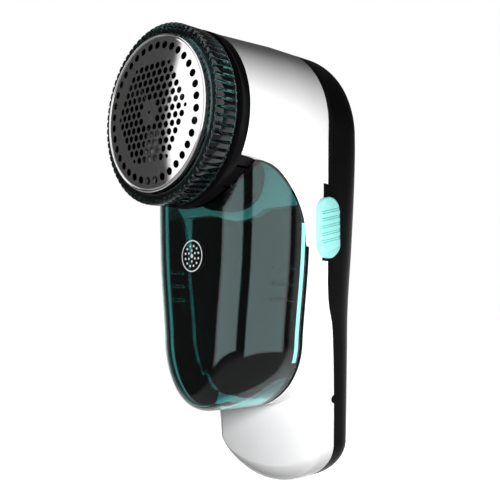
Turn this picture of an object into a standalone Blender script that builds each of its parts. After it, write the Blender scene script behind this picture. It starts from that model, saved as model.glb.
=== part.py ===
"""Fabric shaver: a cutting head with a perforated foil, a lint container under it, and a battery handle.

Every length is in millimetres, and MM turns it into metres when a mesh is made.
The shapes are written in the head frame: X to the right, Y to the back and Z up, from the middle
of the foil's rim, so the cutting head turns about the line x = 0, z = 0. One empty carries
that frame, and puts the object's lowest point and the middle of its footprint at the origin.
"""

import math

import bmesh
import bpy
from mathutils import Matrix, Vector

MM = 0.001
GAP = 0.3

# Where the head frame stands in the object's own frame
HEAD_HEIGHT = 130.6
DEPTH_FRONT = 2.1
DEPTH_BACK = 75.6

# Cutting head, from front to back
FOIL_DOME = 2.1
FOIL_RADIUS = 27.0
FOIL_WALL = 0.5
FOIL_FLANGE_RADIUS = 28.7
FOIL_FLANGE_Y = 3.3
OUTER_HOLES = 36
OUTER_HOLE_RING = 23.1
OUTER_HOLE_RADIUS = 1.35
RING_FRONT = 1.5
RING_BACK = 10.7
RING_RADIUS = 31.2
RING_LIP_RADIUS = 27.4
SPIGOT_RADIUS = 28.6
SPIGOT_FRONT = 4.4
COLLAR_FRONT = 12.0
COLLAR_BACK = 15.4
COLLAR_RADIUS = 31.35
CHAMBER_RADIUS = 26.8
CUP_RADIUS = 29.4
CUP_BACK = 37.0
CUP_FLOOR = 2.0
SKIRT_RADIUS = 30.7
DUCT = (15.0, 19.5, 33.5)

# Casing
HEAD_FRONT_RADIUS = 31.2
HEAD_REAR_RADIUS = 32.4
SHELL_FRONT = 15.6
WALL = 2.0
FLANK = ((0.0, 32.4), (-46.0, 31.4), (-77.0, 28.2), (-115.0, 25.4))
FOOT_SHOULDER = -115.0
FOOT_DROP = 15.6
FOOT_FRONT = 52.0
BACK = DEPTH_BACK
BACK_ROUNDING = ((10.0, 12.5), (-9.0, 11.5), (-46.0, 14.3), (-61.0, 14.3), (-83.0, 11.7), (-115.0, 9.0))
LUG_Z = -99.0
LUG_RADIUS = 1.3
LIGHT_X = 8.0
LIGHT_Z = -75.0
LIGHT_RADIUS = 1.4
PARTING = ((40.0, 54.0), (-50.0, 54.2), (-74.0, 59.2), (-93.0, 61.5), (-117.0, 63.1), (-140.0, 63.6))

# Lint container and the bay that it slides into
BAY_ARC = ((-15.6, 17.5), (-16.0, 22.0), (-17.0, 26.0), (-19.0, 29.2), (-22.0, 32.1), (-25.0, 34.6),
           (-28.0, 36.9), (-31.7, 39.2), (-34.9, 40.6), (-38.5, 41.5), (-43.5, 42.0))
CONTAINER_FRONT = 17.0
CONTAINER_BACK = 42.0
CONTAINER_SHOULDER = -77.0
CONTAINER_DROP = 25.3
CONTAINER_WALL = 1.8
CORNER_RADIUS = 20.0
LOWER_EDGE_RADIUS = 7.0
PANEL_FRONT = CONTAINER_BACK + GAP
PANEL_BACK = PANEL_FRONT + 2.0
PANEL_TOP = -31.0
PANEL_DIP_RADIUS = 34.0
BAY_BACK = PANEL_BACK + GAP
BAY_FLOOR = -44.6
PANEL_CHEEK = 29.2

# Power slider and the switch behind it
SLIDER_Y = 51.4
SLIDER_Z = -37.9
SLIDER_LENGTH = 21.6
SLIDER_WIDTH = 10.2
SLIDER_BASE_X = 32.2
SLIDER_TOP_X = 35.2
SLIDER_TRAVEL = 4.5
STEM_WIDTH = 3.0
STEM_LENGTH = 6.0
SLOT_Y = 52.4
TAB_FRONT = 50.8
TAB = ((29.4, TAB_FRONT, -49.2), (31.9, 56.0, -22.3))

# Motor, shaft and blades
MOTOR_RADIUS = 12.0
MOTOR_FRONT = CUP_BACK + GAP
MOTOR_BACK = MOTOR_FRONT + 25.0
MOTOR_SCREW_X = 8.0
SHAFT_RADIUS = 1.0
HUB_RADIUS = 5.0
HUB_FRONT = -0.9
HUB_BACK = 12.0
BLADE_GAP = 0.4
BLADE_COUNT = 3
BLADE_TIP = 25.5
BLADE_PITCH = math.radians(35)

# Battery, board and fasteners in the handle
CELL_RADIUS = 7.0
CELL_X = -10.0
CELL_Y = 64.0
CELL_BOTTOM = -106.0
CELL_TOP = -56.0
BOARD_Y = 66.0
BOARD_BOTTOM = -107.0
BOARD_TOP = -60.0
TAB_SHEET = 0.4
SCREW_SPOTS = ((-15.5, 12.0), (15.5, 12.0), (-12.0, -113.5), (12.0, -113.5))
SCREW_HEAD_RADIUS = 2.6
SCREW_RADIUS = 1.3
SCREW_HEAD_Y = 72.6
SCREW_TIP_DEPTH = 7.5
WELL_FLOOR = SCREW_HEAD_Y - 2.2
POST_RADIUS = 3.2
BOSS_RADIUS = 4.6
SOCKET = ((-4.6, 66.7, -128.0), (4.6, 70.1, -121.5))

ROUND = 48


def material(name, colour, roughness, metallic=0.0, alpha=1.0):
    """A Principled material, made once for each name."""
    found = bpy.data.materials.get(name)
    if found:
        return found
    made = bpy.data.materials.new(name)
    made.use_nodes = True
    shader = made.node_tree.nodes["Principled BSDF"]
    shader.inputs["Base Color"].default_value = (*colour, 1.0)
    shader.inputs["Roughness"].default_value = roughness
    shader.inputs["Metallic"].default_value = metallic
    shader.inputs["Alpha"].default_value = alpha
    return made


def white_plastic():
    return material("white_gloss_plastic", (0.86, 0.86, 0.87), 0.12)


def black_plastic():
    return material("black_plastic", (0.012, 0.012, 0.013), 0.4)


def teal_plastic():
    return material("teal_clear_plastic", (0.10, 0.33, 0.32), 0.06, alpha=0.4)


def mint_plastic():
    return material("mint_plastic", (0.33, 0.93, 0.88), 0.3)


def steel():
    return material("polished_steel", (0.63, 0.62, 0.62), 0.12, metallic=1.0)


def brass():
    return material("brass", (0.75, 0.58, 0.28), 0.3, metallic=1.0)


def board_green():
    return material("board_green", (0.03, 0.22, 0.10), 0.5)


def cell_wrap():
    return material("cell_wrap", (0.05, 0.16, 0.42), 0.35)


def winding():
    return material("copper_winding", (0.45, 0.18, 0.07), 0.45)


def red_insulation():
    return material("lead_red", (0.6, 0.03, 0.02), 0.45)


def black_insulation():
    return material("lead_black", (0.02, 0.02, 0.02), 0.45)


def make_object(name, bm, surface, smooth_angle=35):
    """A mesh object in the head frame, closed and facing out, parented to the head frame's empty."""
    bmesh.ops.remove_doubles(bm, verts=bm.verts, dist=1e-4)
    bmesh.ops.recalc_face_normals(bm, faces=bm.faces)
    bmesh.ops.scale(bm, vec=(MM, MM, MM), verts=bm.verts)
    mesh = bpy.data.meshes.new(name)
    bm.to_mesh(mesh)
    bm.free()
    mesh.materials.append(surface)
    mesh.shade_smooth()
    mesh.set_sharp_from_angle(angle=math.radians(smooth_angle))
    made = bpy.data.objects.new(name, mesh)
    bpy.context.scene.collection.objects.link(made)
    made.parent = bpy.data.objects["head_frame"]
    return made


def loft(loops):
    """A closed solid through loops of equally many points, with a flat face on each end."""
    bm = bmesh.new()
    rings = [[bm.verts.new(point) for point in loop] for loop in loops]
    count = len(rings[0])
    for near, far in zip(rings, rings[1:]):
        for i in range(count):
            j = (i + 1) % count
            bm.faces.new((near[i], near[j], far[j], far[i]))
    bm.faces.new(rings[0])
    bm.faces.new(list(reversed(rings[-1])))
    return bm


def turned(profile, segments=ROUND):
    """A solid turned about the head axis. The profile's points are (radius, y), and a profile that
    starts or ends on the axis is closed there."""
    bm = bmesh.new()
    columns = []
    for radius, y in profile:
        if radius < 1e-6:
            columns.append([bm.verts.new((0.0, y, 0.0))] * segments)
            continue
        angles = [2 * math.pi * i / segments for i in range(segments)]
        columns.append([bm.verts.new((radius * math.cos(a), y, radius * math.sin(a))) for a in angles])
    open_ended = profile[0][0] < 1e-6
    pairs = list(zip(columns, columns[1:]))
    if not open_ended:
        pairs.append((columns[-1], columns[0]))
    for near, far in pairs:
        for i in range(segments):
            j = (i + 1) % segments
            corners = [near[i], near[j], far[j], far[i]]
            corners = [v for k, v in enumerate(corners) if v not in corners[:k]]
            if len(corners) > 2:
                bm.faces.new(corners)
    return bm


def rod(start, end, radius, segments=16):
    """A round bar between two points."""
    bm = bmesh.new()
    axis = Vector(end) - Vector(start)
    bmesh.ops.create_cone(bm, cap_ends=True, segments=segments, radius1=radius, radius2=radius,
                          depth=axis.length)
    turn = Vector((0, 0, 1)).rotation_difference(axis).to_matrix()
    bmesh.ops.rotate(bm, cent=(0, 0, 0), matrix=turn, verts=bm.verts)
    bmesh.ops.translate(bm, vec=(Vector(start) + Vector(end)) / 2, verts=bm.verts)
    return bm


def block(low, high):
    """A box between two corners."""
    (x0, y0, z0), (x1, y1, z1) = low, high
    return loft([[(x0, y, z0), (x1, y, z0), (x1, y, z1), (x0, y, z1)] for y in (y0, y1)])


def side_prism(profile, half_width=60.0):
    """A closed (z, y) profile run along X from the left side to the right."""
    return loft([[(x, y, z) for z, y in profile] for x in (-half_width, half_width)])


def tube(points, radius, sides=6):
    """A bent wire: a round section carried along the points."""
    points = [Vector(p) for p in points]
    loops = []
    for i, point in enumerate(points):
        before, after = points[max(i - 1, 0)], points[min(i + 1, len(points) - 1)]
        along = (after - before).normalized()
        across = along.cross(Vector((0.31, 0.95, 0.05))).normalized()
        up = along.cross(across)
        turns = [2 * math.pi * k / sides for k in range(sides)]
        loops.append([point + radius * (math.cos(a) * across + math.sin(a) * up) for a in turns])
    return loft(loops)


def smooth_path(knots, per_span=4):
    """Points on a Catmull-Rom curve through the knots."""
    knots = [Vector(k) for k in knots]
    padded = [2 * knots[0] - knots[1]] + knots + [2 * knots[-1] - knots[-2]]
    points = []
    for a, b, c, d in zip(padded, padded[1:], padded[2:], padded[3:]):
        for step in range(per_span):
            t = step / per_span
            points.append(0.5 * (2 * b + (c - a) * t + (2 * a - 5 * b + 4 * c - d) * t * t
                                 + (3 * b - a - 3 * c + d) * t ** 3))
    return points + [knots[-1]]


def combine(target, other, operation):
    """A Boolean on target. The other object stays as a hidden wire guide."""
    other.hide_render = True
    other.display_type = "WIRE"
    step = target.modifiers.new(operation.lower(), "BOOLEAN")
    step.operation = operation
    step.object = other
    step.solver = "EXACT"


def cut(target, name, bm):
    """Takes a shape away from target."""
    combine(target, make_object("cut_" + name, bm, black_plastic()), "DIFFERENCE")


def add(target, name, bm):
    """Joins a shape to target."""
    combine(target, make_object("add_" + name, bm, black_plastic()), "UNION")


def between(table, key):
    """A value read along straight lines between a table's (key, value) pairs, highest key first."""
    for (k0, v0), (k1, v1) in zip(table, table[1:]):
        if key >= k1:
            share = min(max((k0 - key) / (k0 - k1), 0.0), 1.0)
            return v0 + (v1 - v0) * share
    return table[-1][1]


def flank_width(z):
    """Half the casing's width at height z, on a smooth curve through FLANK."""
    heights = [k for k, _ in FLANK]
    widths = [v for _, v in FLANK]
    if z >= heights[0]:
        return widths[0]
    if z <= heights[-1]:
        return widths[-1]
    i = max(k for k, height in enumerate(heights) if z <= height)
    i = min(i, len(heights) - 2)
    slopes = [(widths[min(k + 1, len(widths) - 1)] - widths[max(k - 1, 0)])
              / (heights[min(k + 1, len(heights) - 1)] - heights[max(k - 1, 0)])
              for k in range(len(heights))]
    span = heights[i + 1] - heights[i]
    t = (z - heights[i]) / span
    return ((2 * t ** 3 - 3 * t * t + 1) * widths[i] + (t ** 3 - 2 * t * t + t) * span * slopes[i]
            + (3 * t * t - 2 * t ** 3) * widths[i + 1] + (t ** 3 - t * t) * span * slopes[i + 1])


def outline(y, inset=0.0, shoulder=FOOT_SHOULDER, drop=FOOT_DROP, drop_inset=None):
    """The casing's outline at depth y as (x, y, z) points: a round top, flanks that narrow downward,
    and a half-ellipse below the shoulder. The inset moves it inward."""
    edge = [(x - inset * out, z - (inset if drop_inset is None or up >= 0 else drop_inset) * up)
            for x, z, out, up in outline_edge(y, shoulder, drop)]
    return [(x, y, z) for x, z in edge + [(-x, z) for x, z in reversed(edge[1:-1])]]


def outline_edge(y, shoulder, drop):
    """The right half of the outline from the top to the bottom, as (x, z, out, up): each point and the
    way that an inset moves it."""
    radius = HEAD_FRONT_RADIUS + (HEAD_REAR_RADIUS - HEAD_FRONT_RADIUS) * depth_share(y)
    top_steps, flank_steps, low_steps = 10, 9, 8
    edge = []
    for i in range(top_steps + 1):
        out, up = math.sin(math.pi / 2 * i / top_steps), math.cos(math.pi / 2 * i / top_steps)
        edge.append((radius * out, radius * up, out, up))
    for i in range(1, flank_steps + 1):
        z = shoulder * i / flank_steps
        edge.append((flank_at(y, z), z, 1.0, 0.0))
    width = flank_at(y, shoulder)
    for i in range(1, low_steps + 1):
        out, up = math.cos(math.pi / 2 * i / low_steps), -math.sin(math.pi / 2 * i / low_steps)
        edge.append((width * out, shoulder + drop * up, out, up))
    return edge


def back_rounding(z):
    """Radius of the edge round the back at height z: largest where the hand holds the grip."""
    return between(BACK_ROUNDING, z)


def rounded_back(angle, inset):
    """The casing's outline at an angle through the rounded edge, 0 at its start and pi / 2 on the back."""
    edge = []
    for x, z, out, up in outline_edge(BACK, FOOT_SHOULDER, FOOT_DROP):
        corner = back_rounding(z) - inset
        shift = inset + corner * (1 - math.cos(angle))
        edge.append((x - shift * out, BACK - inset - corner * (1 - math.sin(angle)), z - shift * up))
    return edge + [(-x, y, z) for x, y, z in reversed(edge[1:-1])]


def depth_share(y):
    """How far the casing has flared at depth y, from 0 at the collar to 1 behind the bay."""
    return min(max((y - SHELL_FRONT) / (CONTAINER_BACK - SHELL_FRONT), 0.0), 1.0)


def flank_at(y, z):
    """Half the width at depth y: round like the collar in front, full width behind the bay."""
    share = depth_share(y)
    share = share * share * (3 - 2 * share)
    reach = min(-z, 0.7 * HEAD_FRONT_RADIUS)
    front = math.sqrt(HEAD_FRONT_RADIUS ** 2 - reach ** 2)
    return front + (flank_width(z) - front) * share


def head_block(inset=0.0, front=SHELL_FRONT, back=53.0):
    """The head and the platform behind the container, as one closed form."""
    steps = [front, 24.0, 33.0, CONTAINER_BACK, back]
    return loft([outline(y, inset, CONTAINER_SHOULDER, CONTAINER_DROP) for y in steps])


def handle_block(inset=0.0):
    """The whole back of the casing, from the foot's front face to the rounded back, its surface moved
    inward by inset."""
    front = FOOT_FRONT + inset
    loops = [outline(front, 1.8 + inset, drop_inset=6.0 + inset),
             outline(front + 0.7, 0.5 + inset, drop_inset=3.0 + inset),
             outline(front + 2.0, inset, drop_inset=1.2 + inset),
             outline(front + 4.0, inset, drop_inset=0.2 + inset)]
    back_steps = 5
    loops += [rounded_back(math.pi / 2 * i / back_steps, inset) for i in range(back_steps + 1)]
    return loft(loops)


def bay_profile():
    """What the container's bay takes out of the casing, as (z, y) points seen from the side."""
    return [(BAY_ARC[0][0], 5.0)] + list(BAY_ARC) + [
        (BAY_FLOOR, CONTAINER_BACK + GAP), (BAY_FLOOR, BAY_BACK), (-150.0, BAY_BACK), (-150.0, 5.0)]


def parting_profile(side):
    """Everything on one side of the parting line: side is -1 for the front and 1 for the back."""
    edge = [(z, y - side * GAP / 2) for z, y in PARTING]
    far = 120.0 * side
    return edge + [(edge[-1][0], far), (edge[0][0], far)]


def casing(name, surface):
    """The whole outer form, head and handle, before it is split."""
    made = make_object(name, head_block(), surface)
    add(made, name + "_handle", handle_block())
    return made


def stadium(x, y_middle, z_low, z_high, width, steps=8):
    """A slot outline in the plane at x: straight flanks and round ends."""
    radius = width / 2
    points = []
    for middle, start in ((z_high - radius, 0.0), (z_low + radius, math.pi)):
        for i in range(steps + 1):
            angle = start + math.pi * i / steps
            points.append((x, y_middle + radius * math.cos(angle), middle + radius * math.sin(angle)))
    return points


def front_shell():
    """White shell: round head, the platform behind the container, and the foot."""
    shell = casing("front_shell", white_plastic())
    cut(shell, "front_bay", side_prism(bay_profile()))
    cut(shell, "front_half", side_prism(parting_profile(1)))
    room = make_object("cut_front_room", head_block(WALL, front=10.0, back=70.0), black_plastic())
    wall = [(z + WALL, y + WALL) for z, y in BAY_ARC if z > PANEL_TOP]
    inside = [(60.0, 5.0), (wall[0][0], 5.0)] + wall[1:] + [
        (PANEL_TOP + WALL, BAY_BACK + WALL), (-110.0, BAY_BACK + WALL), (-110.0, 80.0), (60.0, 80.0)]
    combine(room, make_object("guide_room_side", side_prism(inside), black_plastic()), "INTERSECT")
    combine(shell, room, "DIFFERENCE")
    cheek = PANEL_CHEEK + GAP
    behind = block((-cheek, 30, BAY_FLOOR - 1), (cheek, BAY_BACK, PANEL_TOP + GAP))
    seat = make_object("cut_front_seat", behind, black_plastic())
    cut(seat, "seat_dip", rod((0, 20, 0), (0, 60, 0), PANEL_DIP_RADIUS - GAP, ROUND))
    combine(shell, seat, "DIFFERENCE")
    cut(shell, "front_foot_room", handle_block(WALL))
    cut(shell, "front_head_bore", rod((0, 5, 0), (0, CUP_BACK + 5, 0), CUP_RADIUS + GAP, ROUND))
    (_, _, tab_low), (_, _, tab_high) = TAB
    cut(shell, "front_tab_notch", block((26, TAB_FRONT - GAP, tab_low - GAP), (40, 60, tab_high + GAP)))
    for side in (-1, 1):
        cut(shell, f"front_lug_{side}", lug(side, LUG_RADIUS + GAP, 2.5, 2.0))
    for i, (x, z) in enumerate(SCREW_SPOTS[2:]):
        add_post(shell, i, x, z, FOOT_FRONT + WALL - 0.5)
    return shell


def lug(side, radius, inward, outward):
    """A round lug on the parting line, reaching inward and outward from the flank's surface."""
    flank, y = flank_width(LUG_Z), between(PARTING, LUG_Z)
    return rod((side * (flank - inward), y, LUG_Z), (side * (flank + outward), y, LUG_Z), radius, 16)


def add_post(piece, index, x, z, front):
    """A hollow post that a case screw bites into, standing on the wall at depth front."""
    post = rod((x, front, z), (x, between(PARTING, z) - 0.5, z), POST_RADIUS, 12)
    bore = rod((x, screw_tip(z) - 1, z), (x, BACK, z), SCREW_RADIUS + 0.05, 10)
    add(piece, f"post_{piece.name}_{index}", post)
    cut(piece, f"post_hole_{piece.name}_{index}", bore)


def screw_tip(z):
    """Depth at which a case screw's tip ends."""
    return between(PARTING, z) - SCREW_TIP_DEPTH


def rear_cover():
    """Black back shell with the slider's slot, four screw wells, two small lugs, and holes for the
    charging socket and the light."""
    cover = make_object("rear_cover", handle_block(), black_plastic())
    cut(cover, "rear_half", side_prism(parting_profile(-1)))
    cut(cover, "rear_room", handle_block(WALL))
    add(cover, "rear_tab", block(*TAB))
    for side in (-1, 1):
        add(cover, f"rear_lug_{side}", lug(side, LUG_RADIUS, 1.6, 0.1))
    slot = [stadium(x, SLOT_Y, SLIDER_Z - STEM_LENGTH / 2 - 0.5,
                    SLIDER_Z + STEM_LENGTH / 2 + SLIDER_TRAVEL + 0.5, STEM_WIDTH + 0.8)
            for x in (24.0, 40.0)]
    cut(cover, "rear_slot", loft(slot))
    for i, (x, z) in enumerate(SCREW_SPOTS):
        seam = between(PARTING, z) + 0.5
        add(cover, f"rear_boss_{i}", rod((x, seam, z), (x, BACK - 1.2, z), BOSS_RADIUS, 12))
        cut(cover, f"rear_well_{i}", rod((x, WELL_FLOOR, z), (x, BACK + 5, z), SCREW_HEAD_RADIUS + GAP, 14))
        cut(cover, f"rear_hole_{i}", rod((x, 40, z), (x, BACK, z), SCREW_RADIUS + GAP, 12))
    (left, front, _), (right, back, _) = SOCKET
    cut(cover, "rear_socket", block((left - GAP, front - GAP, -140), (right + GAP, back + GAP, -122)))
    cut(cover, "rear_light", rod((LIGHT_X, 70, LIGHT_Z), (LIGHT_X, 80, LIGHT_Z), LIGHT_RADIUS + GAP))
    return cover


def head_base():
    """Black head base: spigot for the guard ring, collar, cutting chamber and lint duct."""
    base = make_object("head_base", turned([
        (SPIGOT_RADIUS, SPIGOT_FRONT), (SPIGOT_RADIUS, COLLAR_FRONT), (COLLAR_RADIUS - 0.3, COLLAR_FRONT),
        (COLLAR_RADIUS, COLLAR_FRONT + 0.3), (COLLAR_RADIUS, COLLAR_BACK), (CUP_RADIUS, COLLAR_BACK),
        (CUP_RADIUS, CUP_BACK), (3.9, CUP_BACK), (3.9, CUP_BACK - CUP_FLOOR),
        (CHAMBER_RADIUS, CUP_BACK - CUP_FLOOR), (CHAMBER_RADIUS, SPIGOT_FRONT)]), black_plastic())
    skirt = make_object("add_skirt", turned([
        (SKIRT_RADIUS, COLLAR_BACK - 0.5), (SKIRT_RADIUS, 45.0), (CUP_RADIUS - 1.0, 45.0),
        (CUP_RADIUS - 1.0, COLLAR_BACK - 0.5)]), black_plastic())
    low = [(z - GAP, y - GAP) for z, y in BAY_ARC if z > PANEL_TOP]
    under = [(low[0][0], 5.0)] + low + [(PANEL_TOP - 4.0, low[-1][1]), (PANEL_TOP - 4.0, 5.0)]
    combine(skirt, make_object("guide_skirt_side", side_prism(under), black_plastic()), "INTERSECT")
    combine(base, skirt, "UNION")
    half, front, back = DUCT
    cut(base, "duct", block((-half, front, -40), (half, back, -15)))
    for side in (-1, 1):
        x = MOTOR_SCREW_X * side
        cut(base, f"motor_screw_hole_{side}", rod((x, 30, 0), (x, 45, 0), 1.5, 10))
    for i, (x, z) in enumerate(SCREW_SPOTS[:2]):
        add_post(base, i, x, z, CUP_BACK - 0.5)
    return base


def bay_panel():
    """Black panel that closes the handle behind the container."""
    sheet = loft([outline(y, 0.0, CONTAINER_SHOULDER, CONTAINER_DROP) for y in (PANEL_FRONT, PANEL_BACK)])
    panel = make_object("bay_panel", sheet, black_plastic())
    cut(panel, "panel_top", block((-60, 30, PANEL_TOP), (60, 60, 60)))
    cut(panel, "panel_dip", rod((0, 30, 0), (0, 60, 0), PANEL_DIP_RADIUS, ROUND))
    for side in (-1, 1):
        near, far = sorted((side * PANEL_CHEEK, side * 60))
        cut(panel, f"panel_cheek_{side}", block((near, 30, BAY_FLOOR - GAP), (far, 60, 60)))
    return panel


def container_loop(y, wall=0.0):
    """The container's outline at depth y: its front corners and lower edge are rounded."""
    corner, lower = CORNER_RADIUS - wall, LOWER_EDGE_RADIUS - wall
    front = CONTAINER_FRONT + wall
    side_step = min(max(front + corner - y, 0.0), corner)
    low_step = min(max(front + lower - y, 0.0), lower)
    side_inset = wall + corner - math.sqrt(max(corner ** 2 - side_step ** 2, 0.0))
    low_inset = wall + lower - math.sqrt(max(lower ** 2 - low_step ** 2, 0.0))
    flank_steps, low_steps = 9, 12
    top = 0.0 if wall else -8.0
    heights = [top + (CONTAINER_SHOULDER - top) * i / flank_steps for i in range(flank_steps + 1)]
    right = [(flank_width(z) - side_inset, z) for z in heights]
    width, drop = flank_width(CONTAINER_SHOULDER) - side_inset, CONTAINER_DROP - low_inset
    for i in range(1, low_steps + 1):
        angle = math.pi / 2 * i / low_steps
        right.append((width * math.cos(angle), CONTAINER_SHOULDER - drop * math.sin(angle)))
    left = [(-x, z) for x, z in reversed(right[:-1])]
    return [(x, y, z) for x, z in right + left]


def container_form(wall=0.0):
    """The container as a solid form, its surface moved inward by wall. The inner form runs out behind."""
    front, corner, steps = CONTAINER_FRONT + wall, CORNER_RADIUS - wall, 9
    depths = [front + corner * (1 - math.cos(math.pi / 2 * i / steps)) for i in range(steps + 1)]
    back = CONTAINER_BACK + (3.0 if wall else 0.0)
    return loft([container_loop(y, wall) for y in depths + [back]])


def lint_container():
    """Clear teal tub, open to the duct above and to the bay panel behind."""
    tub = make_object("lint_container", container_form(), teal_plastic())
    cut(tub, "tub_room", container_form(CONTAINER_WALL))
    cut(tub, "tub_head", rod((0, 0, 0), (0, 60, 0), SKIRT_RADIUS + GAP, ROUND))
    arc = [(z - GAP, y - GAP) for z, y in BAY_ARC]
    above = [(arc[0][0], 5.0)] + arc + [(-43.3, 60.0), (20.0, 60.0), (20.0, 5.0)]
    cut(tub, "tub_top", side_prism(above))
    return tub


def dome(radius, behind=0.0):
    """Where the foil's domed face is at a radius from the head axis, or a depth behind it."""
    return -FOIL_DOME * (1 - (radius / FOIL_RADIUS) ** 2) + behind


def mesh_foil():
    """Domed steel foil with its rolled rim, its flange and the outer ring of holes."""
    outer = [(r, dome(r)) for r in (0.0, 12.0, 20.0, 24.8)]
    inner = [(r, dome(r, FOIL_WALL)) for r in (24.6, 20.0, 12.0, 0.0)]
    flange_back, inside = FOIL_FLANGE_Y + 0.6, FOIL_RADIUS - 0.6
    rim = [(26.4, -0.35), (FOIL_RADIUS, 0.15), (FOIL_RADIUS, FOIL_FLANGE_Y),
           (FOIL_FLANGE_RADIUS, FOIL_FLANGE_Y), (FOIL_FLANGE_RADIUS, flange_back), (inside, flange_back),
           (inside, 0.6)]
    foil = make_object("mesh_foil", turned(outer + rim + inner), steel())
    cut(foil, "foil_holes", outer_holes())
    return foil


def outer_holes():
    """Cutters for the ring of holes near the foil's rim, as one mesh of separate pegs."""
    pegs = bmesh.new()
    sides = 6
    for i in range(OUTER_HOLES):
        angle = 2 * math.pi * i / OUTER_HOLES
        x, z = OUTER_HOLE_RING * math.cos(angle), OUTER_HOLE_RING * math.sin(angle)
        corners = [(x + OUTER_HOLE_RADIUS * math.cos(2 * math.pi * k / sides),
                    z + OUTER_HOLE_RADIUS * math.sin(2 * math.pi * k / sides)) for k in range(sides)]
        near, far = ([pegs.verts.new((cx, y, cz)) for cx, cz in corners] for y in (-4.0, 3.0))
        for k in range(sides):
            j = (k + 1) % sides
            pegs.faces.new((near[k], near[j], far[j], far[k]))
        pegs.faces.new(near)
        pegs.faces.new(far)
    return pegs


def guard_ring():
    """Clear teal screw ring that holds the foil on the head base."""
    bore, step = FOIL_FLANGE_RADIUS + GAP, FOIL_FLANGE_Y - GAP
    return make_object("guard_ring", turned([
        (RING_LIP_RADIUS, RING_FRONT), (29.4, RING_FRONT), (RING_RADIUS, RING_FRONT + 1.2),
        (RING_RADIUS, 7.4), (RING_RADIUS - 0.7, RING_BACK), (bore, RING_BACK), (bore, step),
        (RING_LIP_RADIUS, step)]), teal_plastic())


def blade_hub():
    """Blade seat on the shaft: a stepped boss with a front cap."""
    neck, bore, bore_front = 3.4, SHAFT_RADIUS + GAP, 4.0
    return make_object("blade_hub", turned([
        (0.0, HUB_FRONT), (2.6, HUB_FRONT), (HUB_RADIUS, HUB_FRONT + 0.9), (HUB_RADIUS, HUB_FRONT + 5.4),
        (neck, HUB_FRONT + 6.0), (neck, HUB_BACK), (bore, HUB_BACK), (bore, bore_front),
        (0.0, bore_front)], 20), black_plastic())


def cutting_blade(index):
    """One pitched blade from the hub to just inside the foil's outer holes."""
    angle = 2 * math.pi * index / BLADE_COUNT + math.radians(20)
    outward = Vector((math.cos(angle), 0, math.sin(angle)))
    sweep = Vector((-math.sin(angle), 0, math.cos(angle)))
    loops = []
    for reach, chord, twist in ((HUB_RADIUS + GAP, 4.0, BLADE_PITCH), (14.0, 6.4, BLADE_PITCH * 0.75),
                                (BLADE_TIP, 4.4, BLADE_PITCH * 0.5)):
        flat = sweep * math.cos(twist) + Vector((0, math.sin(twist), 0))
        normal = outward.cross(flat).normalized() * 0.3
        depth = dome(reach, FOIL_WALL + BLADE_GAP + 0.3) + chord / 2 * math.sin(twist)
        middle = outward * reach + Vector((0, depth, 0))
        loops.append([middle - flat * chord / 2 - normal, middle + flat * chord / 2 - normal,
                      middle + flat * chord / 2 + normal, middle - flat * chord / 2 + normal])
    return make_object(f"cutting_blade_{index + 1}", loft(loops), steel())


def blade_spring():
    """Coil spring behind the blade seat that keeps the blades on the foil."""
    turns, start, end, radius = 5, HUB_BACK + 0.8, 27.0, 3.0
    steps = turns * 10
    points = [(radius * math.cos(2 * math.pi * turns * i / steps), start + (end - start) * i / steps,
               radius * math.sin(2 * math.pi * turns * i / steps)) for i in range(steps + 1)]
    return make_object("blade_spring", tube(points, 0.35, 4), steel())


def drive_collar():
    """Collar pressed on the shaft, which the spring pushes against."""
    bore, radius, front, back = SHAFT_RADIUS + 0.05, 4.2, 27.8, 31.8
    return make_object("drive_collar", turned([
        (bore, front), (radius, front), (radius, back - 0.8), (2.4, back), (bore, back)], 20), brass())


def motor():
    """Brushed motor: can, end cap with two terminals, armature, shaft, bush and two fixing screws."""
    motor_can()
    motor_end()
    motor_inside()
    for side, name in ((-1, "left"), (1, "right")):
        motor_screw(side, name)
        motor_terminal(side, name)


def motor_can():
    """Thin drawn can, closed in front round the bush."""
    nose, inside, floor = 2.9, MOTOR_RADIUS - 1.0, MOTOR_FRONT + 1.2
    can = make_object("motor_can", turned([
        (nose, MOTOR_FRONT), (inside, MOTOR_FRONT), (MOTOR_RADIUS, MOTOR_FRONT + 1),
        (MOTOR_RADIUS, MOTOR_BACK), (inside, MOTOR_BACK), (inside, floor), (nose, floor)], 32), steel())
    for side in (-1, 1):
        x = MOTOR_SCREW_X * side
        cut(can, f"can_screw_{side}", rod((x, 30, 0), (x, 39.5, 0), 1.25, 10))


def motor_end():
    """Plastic end cap with the rear bearing's boss."""
    front, radius = MOTOR_BACK + GAP, MOTOR_RADIUS - 0.2
    make_object("motor_end_cap", turned([
        (1.4, front), (radius, front), (radius, front + 1.7), (4.0, front + 1.7), (3.2, front + 3.1),
        (1.4, front + 3.1)], 32), black_plastic())


def motor_inside():
    """Armature and shaft, and the bush that the shaft turns in."""
    bore = SHAFT_RADIUS + 0.05
    make_object("motor_armature", turned([
        (bore, MOTOR_FRONT + 4), (8.6, MOTOR_FRONT + 4), (8.6, MOTOR_BACK - 6), (4.0, MOTOR_BACK - 6),
        (4.0, MOTOR_BACK - 1), (bore, MOTOR_BACK - 1)], 24), winding())
    make_object("motor_shaft", rod((0, 6.0, 0), (0, MOTOR_BACK + 2.6, 0), SHAFT_RADIUS, 14), steel())
    bore = SHAFT_RADIUS + GAP
    make_object("shaft_bush", turned([
        (bore, 34.0), (3.6, 34.0), (3.6, MOTOR_FRONT - 0.6), (2.6, MOTOR_FRONT - 0.3),
        (2.6, MOTOR_FRONT + 1.8), (bore, MOTOR_FRONT + 1.8)], 20), brass())


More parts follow.
